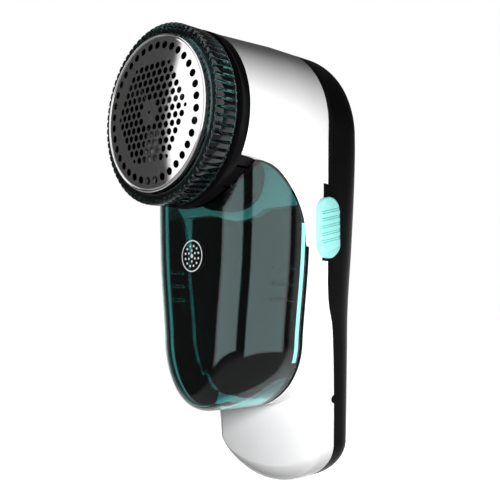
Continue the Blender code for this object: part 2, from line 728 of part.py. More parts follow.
def motor_screw(side, name):
    """Screw from the cutting chamber's floor into the can."""
    head, shank, front, step, tip = 2.4, 1.0, 33.2, 34.7, 40.2
    make_object(f"motor_screw_{name}", turned_at(MOTOR_SCREW_X * side, 0, [
        (0.0, front), (head, front), (head, step), (shank, step), (shank, tip), (0.0, tip)], 12), steel())


def motor_terminal(side, name):
    """Flat solder tag behind the end cap."""
    x, half_width, half_height = 6.0 * side, 1.2, 0.3
    make_object(f"motor_terminal_{name}", block((x - half_width, MOTOR_BACK + 2.3, -half_height),
                                                (x + half_width, MOTOR_BACK + 6.0, half_height)), brass())


def turned_at(x, z, profile, segments):
    """A solid turned about the line through (x, z) along Y."""
    bm = turned(profile, segments)
    bmesh.ops.translate(bm, vec=(x, 0, z), verts=bm.verts)
    return bm


def slider():
    """Mint thumb slider: a bevelled stadium with the stem that goes through the slot."""
    low, high = SLIDER_Z - SLIDER_LENGTH / 2, SLIDER_Z + SLIDER_LENGTH / 2
    loops = [stadium(SLIDER_BASE_X, SLIDER_Y, low, high, SLIDER_WIDTH),
             stadium(SLIDER_TOP_X - 0.7, SLIDER_Y, low, high, SLIDER_WIDTH),
             stadium(SLIDER_TOP_X - 0.2, SLIDER_Y, low + 0.4, high - 0.4, SLIDER_WIDTH - 0.8),
             stadium(SLIDER_TOP_X, SLIDER_Y, low + 0.9, high - 0.9, SLIDER_WIDTH - 1.8)]
    cap = make_object("power_slider", loft(loops), mint_plastic())
    stem = [stadium(x, SLOT_Y, SLIDER_Z - STEM_LENGTH / 2, SLIDER_Z + STEM_LENGTH / 2, STEM_WIDTH, 4)
            for x in (26.5, SLIDER_BASE_X + 1)]
    add(cap, "slider_stem", loft(stem))


def slide_switch():
    """Slide switch on the inside of the slot, with the lever that the slider's stem carries."""
    body = make_object("switch_body", block((17.6, 49.6, -46.0), (23.0, 55.4, -26.0)), black_plastic())
    cut(body, "switch_track", block((21.0, 51.0, -43.2), (25.0, 54.0, -28.6)))
    make_object("switch_lever", block((21.6, 51.4, -41.6), (26.2, 53.4, -36.2)), white_plastic())


def power_pack():
    """Rechargeable cell with its two tabs, the board, the charging socket and the light."""
    shoulder, cap = CELL_TOP - 1.5, 2.8
    make_object("battery_cell", turned_upright(CELL_X, CELL_Y, [
        (0.0, CELL_BOTTOM), (CELL_RADIUS, CELL_BOTTOM), (CELL_RADIUS, shoulder), (CELL_RADIUS - 1, shoulder),
        (cap, CELL_TOP - 1.2), (cap, CELL_TOP), (0.0, CELL_TOP)], 24), cell_wrap())
    battery_tab("battery_tab_top", CELL_TOP + GAP)
    battery_tab("battery_tab_bottom", CELL_BOTTOM - GAP - TAB_SHEET)
    sheet = block((0.5, BOARD_Y, BOARD_BOTTOM), (19.0, BOARD_Y + 1.2, BOARD_TOP))
    board = make_object("circuit_board", sheet, board_green())
    cut(board, "board_mount", rod((16.0, 60, -64), (16.0, 72, -64), 1.2, 10))
    charging_socket()
    charge_light()


def battery_tab(name, bottom):
    """Flat contact strip across one end of the cell, towards the board."""
    low, high = (CELL_X - 2.5, CELL_Y - 3, bottom), (CELL_X + 9.0, CELL_Y + 3, bottom + TAB_SHEET)
    make_object(name, block(low, high), brass())


def charging_socket():
    """Socket that opens downward at the foot."""
    (left, front, bottom), (right, back, top) = SOCKET
    wall = 0.6
    mouth = block((left + wall, front + wall, bottom - 5), (right - wall, back - wall, top - 1))
    cut(make_object("charging_socket", block(*SOCKET), steel()), "socket_mouth", mouth)


def charge_light():
    """Light pipe from the board to the back of the casing."""
    collar, neck_front, tip = 2.0, BACK - WALL - 0.6, BACK - 0.1
    make_object("charge_light", turned_at(LIGHT_X, LIGHT_Z, [
        (0.0, BOARD_Y + 1.5), (collar, BOARD_Y + 1.5), (collar, neck_front), (LIGHT_RADIUS, neck_front),
        (LIGHT_RADIUS, tip), (0.0, tip)], 16), teal_plastic())


def turned_upright(x, y, profile, segments):
    """A solid turned about a vertical line through (x, y). The profile's points are (radius, z)."""
    bm = turned(profile, segments)
    bmesh.ops.rotate(bm, cent=(0, 0, 0), matrix=Matrix.Rotation(math.pi / 2, 3, "X"), verts=bm.verts)
    bmesh.ops.translate(bm, vec=(x, y, 0), verts=bm.verts)
    return bm


def leads():
    """The four internal leads, each in one smooth bend."""
    routes = {
        "lead_motor_red": ([(6, MOTOR_BACK + 6.9, 0), (9, MOTOR_BACK + 7.2, -8), (14, 66, -20),
                            (15.5, 57.0, -25.4)], red_insulation()),
        "lead_motor_black": ([(-6, MOTOR_BACK + 6.9, 0), (-7, MOTOR_BACK + 7.0, -14), (-2, 68, -36),
                              (3, 67, -58.9)], black_insulation()),
        "lead_switch_red": ([(18.6, 54, -46.9), (16, 58, -51), (11, 64, -55.5), (9, 66.4, -59.1)],
                            red_insulation()),
        "lead_socket_black": ([(2, 68.4, -120.6), (1.5, 68.6, -116.4), (2.5, 68.0, -111.0),
                               (4, 66.8, -108.1)], black_insulation())}
    for name, (knots, insulation) in routes.items():
        make_object(name, tube(smooth_path(knots), 0.6), insulation)


def case_screws():
    """Four screws from the back, each with a cross recess."""
    shank, step = SCREW_RADIUS - 0.2, SCREW_HEAD_Y - 1.8
    for i, (x, z) in enumerate(SCREW_SPOTS):
        tip = screw_tip(z)
        screw = make_object(f"case_screw_{i + 1}", turned_at(x, z, [
            (0.0, tip), (0.6, tip), (shank, tip + 1.2), (shank, step), (SCREW_HEAD_RADIUS, step),
            (SCREW_HEAD_RADIUS, SCREW_HEAD_Y - 0.3), (SCREW_HEAD_RADIUS - 0.5, SCREW_HEAD_Y),
            (0.0, SCREW_HEAD_Y)], 14), steel())
        for k, (width, height) in enumerate(((0.35, 1.5), (1.5, 0.35))):
            cut(screw, f"screw_{i}_drive_{k}", block((x - width, SCREW_HEAD_Y - 0.9, z - height),
                                                     (x + width, SCREW_HEAD_Y + 1, z + height)))


def clear_scene():
    """Removes whatever the file opened with."""
    for old in list(bpy.data.objects):
        bpy.data.objects.remove(old, do_unlink=True)


def place_head_frame():
    """Puts the head frame so that the origin is under the middle of the object, at its lowest point."""
    frame = bpy.data.objects.new("head_frame", None)
    bpy.context.scene.collection.objects.link(frame)
    x, y = -(SLIDER_TOP_X - HEAD_REAR_RADIUS) / 2, -(BACK - DEPTH_FRONT) / 2
    frame.location = (x * MM, y * MM, HEAD_HEIGHT * MM)


def main():
    """Builds every part, front to back."""
    clear_scene()
    place_head_frame()
    front_shell()
    rear_cover()
    head_base()
    bay_panel()
    lint_container()
    mesh_foil()
    guard_ring()
    blade_hub()
    for index in range(BLADE_COUNT):
        cutting_blade(index)
    blade_spring()
    drive_collar()
    motor()
    slider()
    slide_switch()
    power_pack()
    leads()
    case_screws()


main()
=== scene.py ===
"""Looks of the fabric shaver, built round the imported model.

Shapes are written in millimetres in the head frame: X to the right, Y to the back and Z up, from
the middle of the foil's rim. HEAD is where that point stands in the shared frame.
"""
from math import cos, hypot, pi, radians, sin, sqrt, tan

import bmesh
import bpy
from mathutils import Matrix, Vector
from mathutils.geometry import delaunay_2d_cdt


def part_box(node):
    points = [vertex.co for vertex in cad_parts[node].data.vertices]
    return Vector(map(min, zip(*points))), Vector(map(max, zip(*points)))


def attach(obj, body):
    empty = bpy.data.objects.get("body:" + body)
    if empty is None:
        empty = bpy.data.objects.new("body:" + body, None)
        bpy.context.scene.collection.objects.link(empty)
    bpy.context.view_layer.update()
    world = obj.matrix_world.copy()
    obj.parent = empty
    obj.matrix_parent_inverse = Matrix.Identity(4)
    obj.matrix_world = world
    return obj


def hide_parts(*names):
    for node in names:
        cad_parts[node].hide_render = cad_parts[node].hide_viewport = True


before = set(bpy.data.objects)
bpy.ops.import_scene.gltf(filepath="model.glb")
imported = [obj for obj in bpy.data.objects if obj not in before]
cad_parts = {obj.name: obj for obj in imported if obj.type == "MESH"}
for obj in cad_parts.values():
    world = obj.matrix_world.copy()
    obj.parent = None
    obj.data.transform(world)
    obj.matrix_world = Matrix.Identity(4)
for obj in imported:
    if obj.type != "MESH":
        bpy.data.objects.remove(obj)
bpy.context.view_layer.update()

MM = 0.001
GAP = 0.3  # between pieces that meet
SMOOTH_ANGLE = 38  # degrees; sharper edges stay sharp
IN_FRONT, BEHIND, OUTSIDE, BELOW = 5.0, 80.0, 60.0, -150.0  # where cutting tools end
NEAR, FAR = 30.0, 60.0  # the same in front of the bay panel and behind it
FOIL_DOME = 2.1  # how far the foil's middle stands in front of its rim
FOIL_LOW, FOIL_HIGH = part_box("mesh_foil")
HEAD = Vector(((FOIL_LOW.x + FOIL_HIGH.x) / 2, FOIL_LOW.y + FOIL_DOME * MM,
               (FOIL_LOW.z + FOIL_HIGH.z) / 2))


def spot(node):
    """A CAD node's lowest and highest corners in the head frame, in millimetres."""
    return [(corner - HEAD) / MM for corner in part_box(node)]


def spot_axis(node):
    """A CAD node's corners, and the x and z of the front-to-back axis through its middle."""
    low, high = spot(node)
    return low, high, (low.x + high.x) / 2, (low.z + high.z) / 2


# Cutting head
FLANGE_RADIUS = spot("mesh_foil")[1].x
FOIL_RADIUS = FLANGE_RADIUS - 1.7
SHEET_RADIUS = 25.6
SHEET = 0.25  # the foil's thickness
FOIL_SEGMENTS = 180
FOIL_TURN = 0.165  # how far the foil's shading turns to the right
RIM_HOLES, RIM_HOLES_AT, RIM_HOLE = 36, 23.1, 1.32
HOLE_PITCH, HOLE_TURN = 3.03, radians(-1.6)
FIELD_START, FIELD_END, FIELD_EDGE = 4.6, 17.0, 18.4
FIELD_HOLE, EDGE_HOLE, MIDDLE_HOLE = 1.13, 0.72, 0.6
RIBS, STEPS_PER_RIB = 72, 10
RIB_CROWN, RIB_FLAT = 0.10, 0.6  # a rib's rounding, and the share of its width before the V groove
SPIGOT_RADIUS = FLANGE_RADIUS - 0.1
SPIGOT_FRONT = spot("head_base")[0].y
COLLAR_RADIUS = spot("head_base")[1].x
COLLAR_FRONT, COLLAR_BACK = 12.0, 15.4
CHAMBER_RADIUS = 26.8
CUP_RADIUS, CUP_BACK, CUP_FLOOR = 29.4, 37.0, 2.0
SKIRT_RADIUS, SKIRT_BACK = 30.7, 45.0
SHAFT_HOLE = 3.9
MOTOR_SCREW_X, MOTOR_SCREW_HOLE = 8.0, 1.5

# Casing
BACK = spot("rear_cover")[1].y
HEAD_REAR_RADIUS = spot("rear_cover")[1].x
HEAD_FRONT_RADIUS = HEAD_REAR_RADIUS - 1.2
SHELL_FRONT = spot("front_shell")[0].y
WALL = 2.0
FLANK = ((0.0, HEAD_REAR_RADIUS), (-46.0, 31.4), (-77.0, 28.2), (-115.0, 25.4))
FOOT_SHOULDER = -115.0
FOOT_DROP = FOOT_SHOULDER - spot("rear_cover")[0].z
FOOT_FRONT = 52.0
BACK_ROUNDING = ((10.0, 12.5), (-9.0, 11.5), (-46.0, 14.3), (-61.0, 14.3), (-83.0, 11.7),
                 (-115.0, 9.0))
LUG_Z = -99.0
LUG_RADIUS = 1.3
PARTING = ((40.0, 54.0), (-50.0, 54.2), (-74.0, 59.2), (-93.0, 61.5), (-117.0, 63.1),
           (-140.0, 63.6))
FOOT_GROOVE, GROOVE_RADIUS, GROOVE_SHIFT = ((24.7, -92), (23.4, -121)), 1.1, 0.55
BOSS_RADIUS, WELL_RADIUS, SCREW_HOLE, LIGHT_HOLE = 4.6, 2.9, 1.6, 1.7

# Lint container and its bay
CONTAINER_FRONT, CONTAINER_BACK = spot("lint_container")[0].y, spot("lint_container")[1].y
CONTAINER_SHOULDER = -77.0
CONTAINER_DROP = CONTAINER_SHOULDER - spot("lint_container")[0].z
CONTAINER_WALL = 1.8
CORNER_RADIUS = 20.0
LOWER_EDGE_RADIUS = 7.0
# Where the pale strip of painted highlight runs in the tub's right wall
HIGHLIGHT_FRONT, HIGHLIGHT_BACK, HIGHLIGHT_TOP, HIGHLIGHT_END = 39.4, 41.2, -37.0, -85.0  # the pale strip
GRIP_HEIGHTS, GRIP_SIZE, GRIP_Y = (-52.5, -57.9, -63.3), (6.0, 10.4, 0.9), 33.4
GRIP_PROUD, GRIP_SUNK = 0.42, 0.9
MARK_Z = -47.9
BAY_ARC = ((-15.6, 17.5), (-16.0, 22.0), (-17.0, 26.0), (-19.0, 29.2), (-22.0, 32.1), (-25.0, 34.6),
           (-28.0, 36.9), (-31.7, 39.2), (-34.9, 40.6), (-38.5, 41.5), (-43.5, 42.0))
PANEL_FRONT, PANEL_BACK = spot("bay_panel")[0].y, spot("bay_panel")[1].y
PANEL_TOP = spot("bay_panel")[1].z
PANEL_DIP_RADIUS = 34.0
PANEL_CHEEK = 29.2
BAY_BACK = PANEL_BACK + GAP
BAY_FLOOR = -44.6

# Slider
SLIDER_LOW, SLIDER_HIGH = spot("power_slider")
SLIDER_WIDTH = SLIDER_HIGH.y - SLIDER_LOW.y
SLIDER_Y = (SLIDER_LOW.y + SLIDER_HIGH.y) / 2
SLIDER_TOP_X = SLIDER_HIGH.x
SLIDER_BASE_X = SLIDER_TOP_X - 3.0
SLOT_Y, SLOT_WIDTH = SLIDER_Y + 1.0, 3.8
TAB_FRONT, TAB_LOW, TAB_HIGH = 50.8, -49.2, -22.3  # the black tab behind the slider

# ---- mesh helpers


def new_object(name, data):
    """An object with this data, in the scene."""
    made = bpy.data.objects.new(name, data)
    bpy.context.scene.collection.objects.link(made)
    return made


def rough_piece(name, bm, surface=None, smooth_angle=SMOOTH_ANGLE):
    """A mesh object in the shared frame, from head-frame millimetres, that rides on nothing yet."""
    bmesh.ops.transform(bm, matrix=Matrix.Translation(HEAD) @ Matrix.Scale(MM, 4), verts=bm.verts)
    mesh = bpy.data.meshes.new(name)
    bm.to_mesh(mesh)
    bm.free()
    if surface:
        mesh.materials.append(surface)
    mesh.shade_smooth()
    mesh.set_sharp_from_angle(angle=radians(smooth_angle))
    return new_object(name, mesh)


def moulding(name, bm, surface=None, smooth_angle=SMOOTH_ANGLE):
    """A rough piece with its faces turned outward."""
    bmesh.ops.recalc_face_normals(bm, faces=bm.faces)
    return rough_piece(name, bm, surface, smooth_angle)


def settle(piece, body, node):
    """Puts a piece on its body, in place of a CAD node if one is named."""
    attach(piece, body)
    if node:
        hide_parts(node)
    return piece


def ring_points(radius, y, segments):
    """Points on a circle about the head axis."""
    angles = [2 * pi * i / segments for i in range(segments)]
    return [(radius * cos(angle), y, radius * sin(angle)) for angle in angles]


def quarter(i, steps):
    """The angle at step i of a quarter turn."""
    return pi / 2 * i / steps


def skin(bm, near, far):
    """Joins two rings of equally many points with quads."""
    for i in range(len(near)):
        j = (i + 1) % len(near)
        bm.faces.new((near[i], near[j], far[j], far[i]))


def loft(loops):
    """A closed solid through loops of equally many points, with a flat face on each end."""
    bm = bmesh.new()
    rings = [[bm.verts.new(point) for point in loop] for loop in loops]
    for near, far in zip(rings, rings[1:]):
        skin(bm, near, far)
    bm.faces.new(rings[0])
    bm.faces.new(list(reversed(rings[-1])))
    return bm


def turned(profile, segments=192):
    """A body turned about the head axis from (radius, y) points. A profile that starts on the axis
    is closed there, and any other profile is a closed loop."""
    bm = bmesh.new()
    columns = []
    for radius, y in profile:
        if radius:
            columns.append([bm.verts.new(point) for point in ring_points(radius, y, segments)])
        else:
            columns.append([bm.verts.new((0.0, y, 0.0))] * segments)
    pairs = list(zip(columns, columns[1:]))
    if profile[0][0]:
        pairs.append((columns[-1], columns[0]))
    for near, far in pairs:
        for i in range(segments):
            j = (i + 1) % segments
            corners = [near[i], near[j], far[j], far[i]]
            corners = [v for k, v in enumerate(corners) if v not in corners[:k]]
            if len(corners) > 2:
                bm.faces.new(corners)
    return bm


def rod(start, end, radius, segments=48):
    """A round bar between two points."""
    bm = bmesh.new()
    axis = Vector(end) - Vector(start)
    bmesh.ops.create_cone(bm, cap_ends=True, segments=segments, radius1=radius, radius2=radius,
                          depth=axis.length)
    turn = Vector((0, 0, 1)).rotation_difference(axis).to_matrix()
    bmesh.ops.rotate(bm, cent=(0, 0, 0), matrix=turn, verts=bm.verts)
    bmesh.ops.translate(bm, vec=(Vector(start) + Vector(end)) / 2, verts=bm.verts)
    return bm


def block(low, high):
    (x0, y0, z0), (x1, y1, z1) = low, high
    return loft([[(x0, y, z0), (x1, y, z0), (x1, y, z1), (x0, y, z1)] for y in (y0, y1)])


def side_prism(profile):
    """A closed (z, y) profile run along X from the left side to the right."""
    return loft([[(x, y, z) for z, y in profile] for x in (-OUTSIDE, OUTSIDE)])


def smooth_line(points):
    """Points on a Catmull-Rom curve through 2-D points."""
    per_span = 6
    knots = [Vector(p) for p in points]
    padded = [2 * knots[0] - knots[1]] + knots + [2 * knots[-1] - knots[-2]]
    line = []
    for a, b, c, d in zip(padded, padded[1:], padded[2:], padded[3:]):
        for step in range(per_span):
            t = step / per_span
            line.append(tuple(0.5 * (2 * b + (c - a) * t + (2 * a - 5 * b + 4 * c - d) * t * t
                                     + (3 * b - a - 3 * c + d) * t ** 3)))
    return line + [tuple(knots[-1])]


def boolean(target, other, operation):
    """Applies a Boolean to target's mesh and removes the other piece, which may be a bmesh."""
    if isinstance(other, bmesh.types.BMesh):
        other = moulding("tool", other)
    step = target.modifiers.new("step", "BOOLEAN")
    step.operation, step.object, step.solver = operation, other, "EXACT"
    bpy.context.view_layer.update()
    graph = bpy.context.evaluated_depsgraph_get()
    result = bpy.data.meshes.new_from_object(target.evaluated_get(graph))
    target.modifiers.clear()
    target.data = result
    bpy.data.objects.remove(other)
    return target


def cut(target, other):
    return boolean(target, other, "DIFFERENCE")


def add(target, other):
    return boolean(target, other, "UNION")


def sharpen(piece, angle=SMOOTH_ANGLE):
    """Shades a piece smooth, apart from its sharper edges."""
    piece.data.shade_smooth()
    piece.data.set_sharp_from_angle(angle=radians(angle))
    return piece


# ---- casing outlines


def between(table, key):
    """A value read along straight lines between a table's (key, value) pairs, highest key first."""
    for (k0, v0), (k1, v1) in zip(table, table[1:]):
        if key >= k1:
            share = min(max((k0 - key) / (k0 - k1), 0.0), 1.0)
            return v0 + (v1 - v0) * share
    return table[-1][1]


def smooth_between(table, key):
    """A value read along a smooth curve through a table's (key, value) pairs, highest key first."""
    keys, values = [k for k, _ in table], [v for _, v in table]
    if key >= keys[0] or key <= keys[-1]:
        return values[0] if key >= keys[0] else values[-1]
    last = len(keys) - 1
    i = min(max(k for k, start in enumerate(keys) if key <= start), last - 1)
    slopes = []
    for k in range(last + 1):
        after, before = min(k + 1, last), max(k - 1, 0)
        slopes.append((values[after] - values[before]) / (keys[after] - keys[before]))
    span = keys[i + 1] - keys[i]
    t = (key - keys[i]) / span
    return ((2 * t ** 3 - 3 * t * t + 1) * values[i] + (t ** 3 - 2 * t * t + t) * span * slopes[i]
            + (3 * t * t - 2 * t ** 3) * values[i + 1] + (t ** 3 - t * t) * span * slopes[i + 1])


def flank_width(z):
    """Half the casing's width at height z."""
    return smooth_between(FLANK, z)


def depth_share(y):
    """How far the casing has flared at depth y, from 0 at the collar to 1 behind the bay."""
    return min(max((y - SHELL_FRONT) / (CONTAINER_BACK - SHELL_FRONT), 0.0), 1.0)


def flank_at(y, z):
    """Half the width at depth y: round like the collar in front, full width behind the bay."""
    share = depth_share(y)
    share = share * share * (3 - 2 * share)
    reach = min(-z, 0.7 * HEAD_FRONT_RADIUS)
    front = sqrt(HEAD_FRONT_RADIUS ** 2 - reach ** 2)
    return front + (flank_width(z) - front) * share


def outline(y, inset, shoulder=FOOT_SHOULDER, drop=FOOT_DROP, drop_inset=None):
    """The casing's outline at depth y: a round top, flanks that narrow downward, and a half-ellipse
    below the shoulder. The inset moves it inward, and drop_inset does so below the shoulder."""
    edge = [(x - inset * out, z - (inset if drop_inset is None or up >= 0 else drop_inset) * up)
            for x, z, out, up in outline_edge(y, shoulder, drop)]
    return [(x, y, z) for x, z in edge + [(-x, z) for x, z in reversed(edge[1:-1])]]


def outline_edge(y, shoulder, drop):
    """The right half of the outline from the top to the bottom, as (x, z, out, up): each point and
    the way that an inset moves it."""
    radius = HEAD_FRONT_RADIUS + (HEAD_REAR_RADIUS - HEAD_FRONT_RADIUS) * depth_share(y)
    top_steps, flank_steps, low_steps = 32, 36, 30
    edge = []
    for i in range(top_steps + 1):
        out, up = sin(quarter(i, top_steps)), cos(quarter(i, top_steps))
        edge.append((radius * out, radius * up, out, up))
    for i in range(1, flank_steps + 1):
        z = shoulder * i / flank_steps
        edge.append((flank_at(y, z), z, 1.0, 0.0))
    width = flank_at(y, shoulder)
    for i in range(1, low_steps + 1):
        out, up = cos(quarter(i, low_steps)), -sin(quarter(i, low_steps))
        edge.append((width * out, shoulder + drop * up, out, up))
    return edge


def rounded_back(angle, inset):
    """The casing's outline at an angle through the rounded edge, which ends at pi / 2."""
    edge = []
    for x, z, out, up in outline_edge(BACK, FOOT_SHOULDER, FOOT_DROP):
        corner = smooth_between(BACK_ROUNDING, z) - inset
        shift = inset + corner * (1 - cos(angle))
        y = BACK - inset - corner * (1 - sin(angle))
        edge.append((x - shift * out, y, z - shift * up))
    return edge + [(-x, y, z) for x, y, z in reversed(edge[1:-1])]


def head_block(inset=0.0, front=SHELL_FRONT, back=53.0):
    """The head and the platform behind the container, as one closed form."""
    steps = 16
    depths = [front + (CONTAINER_BACK - front) * i / steps for i in range(steps + 1)] + [back]
    return loft([outline(y, inset, CONTAINER_SHOULDER, CONTAINER_DROP) for y in depths])


def handle_block(inset=0.0):
    """The whole back of the casing, from the foot's front face to the rounded back. The front edge
    is round, and a wide superellipse below the shoulder."""
    front = FOOT_FRONT + inset
    depth, edge, low_edge, bend, steps = 4.5, 2.2, 6.0, 1.35, 12
    loops = []
    for i in range(steps + 1):
        angle = quarter(i, steps)
        shrink = 1 - sin(angle)
        low_shrink = 1 - (1 - cos(angle) ** bend) ** (1 / bend)
        loops.append(outline(front + depth * (1 - cos(angle)), inset + edge * shrink,
                             drop_inset=inset + low_edge * low_shrink))
    steps = 16
    return loft(loops + [rounded_back(quarter(i, steps), inset) for i in range(steps + 1)])


def lug(side, radius, inward, outward):
    """A round lug on the parting line, reaching inward and outward from the flank's surface."""
    flank, y = flank_width(LUG_Z), between(PARTING, LUG_Z)
    return rod((side * (flank - inward), y, LUG_Z), (side * (flank + outward), y, LUG_Z), radius,
               32)


def parting_profile(side):
    """Everything on one side of the parting line: side is -1 for the front and 1 for the back."""
    edge = [(z, y - side * GAP / 2) for z, y in smooth_line(PARTING)]
    far = 120.0 * side
    return edge + [(edge[-1][0], far), (edge[0][0], far)]


def stadium(x, y_middle, z_low, z_high, width):
    """A slot outline in the plane at x: straight flanks and round ends."""
    radius, steps = width / 2, 24
    points = []
    for middle, start in ((z_high - radius, 0.0), (z_low + radius, pi)):
        for i in range(steps + 1):
            angle = start + pi * i / steps
            points.append((x, y_middle + radius * cos(angle),
                           middle + radius * sin(angle)))
    return points


# ---- casing pieces


def arc_line(shift=0.0):
    """The bay's arc seen from the side as (z, y) points, moved towards the container by shift."""
    return [(z - shift, y - shift) for z, y in smooth_line(BAY_ARC)]


def front_shell(surface):
    """White shell: round head, the platform behind the container, and the foot."""
    shell = moulding("front_shell_moulding", head_block(), surface)
    add(shell, handle_block())
    arc = arc_line()
    bay = [(arc[0][0], IN_FRONT)] + arc + [(BAY_FLOOR, CONTAINER_BACK + GAP), (BAY_FLOOR, BAY_BACK),
                                           (BELOW, BAY_BACK), (BELOW, IN_FRONT)]
    cut(shell, side_prism(bay))
    cut(shell, side_prism(parting_profile(1)))
    room = moulding("room", head_block(WALL, front=10.0, back=70.0))
    room_end = -110.0
    wall = [(z + WALL, y + WALL) for z, y in arc if z > PANEL_TOP]
    inside = [(OUTSIDE, IN_FRONT), (wall[0][0], IN_FRONT)] + wall[1:] + [
        (PANEL_TOP + WALL, BAY_BACK + WALL), (room_end, BAY_BACK + WALL), (room_end, BEHIND),
        (OUTSIDE, BEHIND)]
    boolean(room, side_prism(inside), "INTERSECT")
    cut(shell, room)
    seat = moulding("seat", block((-PANEL_CHEEK - GAP, NEAR, BAY_FLOOR - 1),
                                  (PANEL_CHEEK + GAP, BAY_BACK, PANEL_TOP + GAP)))
    cut(seat, rod((0, 20, 0), (0, FAR, 0), PANEL_DIP_RADIUS - GAP, 128))
    cut(shell, seat)
    cut(shell, handle_block(WALL))
    cut(shell, rod((0, IN_FRONT, 0), (0, CUP_BACK + 5, 0), CUP_RADIUS + GAP, 128))
    cut(shell, block((26, TAB_FRONT - GAP, TAB_LOW - GAP), (40, FAR, TAB_HIGH + GAP)))
    for side in (-1, 1):
        cut(shell, lug(side, LUG_RADIUS + 0.2, 2.5, 2.0))
        top, end = [(side * x, FOOT_FRONT - GROOVE_SHIFT, z) for x, z in FOOT_GROOVE]
        cut(shell, rod(top, end, GROOVE_RADIUS, 64))
    return settle(sharpen(shell), "casing", "front_shell")


def rear_cover(surface):
    """Black back shell with the slider's slot, four screw wells and the socket's hole."""
    cover = moulding("rear_cover_moulding", handle_block(), surface)
    cut(cover, side_prism(parting_profile(-1)))
    cut(cover, handle_block(WALL))
    add(cover, block((29.4, TAB_FRONT, TAB_LOW), (31.9, 56.0, TAB_HIGH)))
    for side in (-1, 1):
        add(cover, lug(side, LUG_RADIUS, 1.6, 0.1))
    slot_low, slot_high = SLIDER_LOW.z + 7.3, SLIDER_HIGH.z - 2.8
    cut(cover, loft([stadium(x, SLOT_Y, slot_low, slot_high, SLOT_WIDTH) for x in (24.0, 40.0)]))
    for index in range(1, 5):
        _, high, x, z = spot_axis(f"case_screw_{index}")
        seat, mouth = high.y - 2.2, WELL_RADIUS + 0.5
        add(cover, rod((x, between(PARTING, z) + 0.5, z), (x, BACK - 1.2, z), BOSS_RADIUS))
        cut(cover, turned_at(x, z, [(0.0, seat), (WELL_RADIUS, seat), (WELL_RADIUS, BACK - 0.5),
                                    (mouth, BACK + 0.1), (mouth, BACK + 5), (0.0, BACK + 5)]))
        cut(cover, rod((x, 40, z), (x, BACK, z), SCREW_HOLE, 32))
    low, high = spot("charging_socket")
    cut(cover, rounded_slot(low.x - GAP, high.x + GAP, low.y - GAP, high.y + GAP, -140, -122, 1.9))
    _, _, x, z = spot_axis("charge_light")
    cut(cover, rod((x, 70, z), (x, BEHIND, z), LIGHT_HOLE))
    return settle(sharpen(cover), "casing", "rear_cover")


def turned_at(x, z, profile):
    """A body turned about the front-to-back axis at x and z."""
    bm = turned(profile, 48)
    bmesh.ops.translate(bm, vec=(x, 0, z), verts=bm.verts)
    return bm


def rounded_slot(x0, x1, y0, y1, z0, z1, radius):
    """An upright prism over a rectangle with round corners."""
    steps = 8
    corners = ((x1 - radius, y1 - radius, 0), (x0 + radius, y1 - radius, 90),
               (x0 + radius, y0 + radius, 180), (x1 - radius, y0 + radius, 270))
    plan = []
    for cx, cy, start in corners:
        for i in range(steps + 1):
            angle = radians(start + 90 * i / steps)
            plan.append((cx + radius * cos(angle), cy + radius * sin(angle)))
    return loft([[(x, y, z) for x, y in plan] for z in (z0, z1)])


def head_base(surface):
    """Black head base: spigot for the guard ring, collar, cutting chamber and lint duct."""
    base = moulding("head_base_moulding", turned([
        (SPIGOT_RADIUS - 0.4, SPIGOT_FRONT), (SPIGOT_RADIUS, SPIGOT_FRONT + 0.4),
        (SPIGOT_RADIUS, COLLAR_FRONT), (COLLAR_RADIUS - 0.5, COLLAR_FRONT),
        (COLLAR_RADIUS - 0.15, COLLAR_FRONT + 0.15), (COLLAR_RADIUS, COLLAR_FRONT + 0.5),
        (COLLAR_RADIUS, COLLAR_BACK), (CUP_RADIUS, COLLAR_BACK),
        (CUP_RADIUS, CUP_BACK), (SHAFT_HOLE, CUP_BACK), (SHAFT_HOLE, CUP_BACK - CUP_FLOOR),
        (CHAMBER_RADIUS, CUP_BACK - CUP_FLOOR), (CHAMBER_RADIUS, SPIGOT_FRONT)]), surface)
    skirt_front, skirt_bore, skirt_end = COLLAR_BACK - 0.5, CUP_RADIUS - 1.0, PANEL_TOP - 4.0
    skirt = moulding("skirt", turned([(SKIRT_RADIUS, skirt_front), (SKIRT_RADIUS, SKIRT_BACK),
                                      (skirt_bore, SKIRT_BACK), (skirt_bore, skirt_front)]))
    low = [(z - GAP, y - GAP) for z, y in arc_line() if z > PANEL_TOP]
    under = [(low[0][0], IN_FRONT)] + low + [(skirt_end, low[-1][1]), (skirt_end, IN_FRONT)]
    boolean(skirt, side_prism(under), "INTERSECT")
    add(base, skirt)
    cut(base, block((-15.0, 19.5, -40), (15.0, 33.5, -15)))
    for side in (-1, 1):
        x = MOTOR_SCREW_X * side
        cut(base, rod((x, 30, 0), (x, 45, 0), MOTOR_SCREW_HOLE, 24))
    return settle(sharpen(base), "casing", "head_base")


def bay_panel(surface):
    """Black panel that closes the handle behind the container."""
    sheet = [outline(y, 0.8, CONTAINER_SHOULDER, CONTAINER_DROP, 0.0)
             for y in (PANEL_FRONT, PANEL_BACK)]
    panel = moulding("bay_panel_moulding", loft(sheet), surface)
    cut(panel, block((-OUTSIDE, NEAR, PANEL_TOP), (OUTSIDE, FAR, OUTSIDE)))
    cut(panel, rod((0, NEAR, 0), (0, FAR, 0), PANEL_DIP_RADIUS, 128))
    for side in (-1, 1):
        left, right = sorted((side * PANEL_CHEEK, side * OUTSIDE))
        cut(panel, block((left, NEAR, BAY_FLOOR - GAP), (right, FAR, OUTSIDE)))
    return settle(sharpen(panel), "casing", "bay_panel")


# ---- lint container


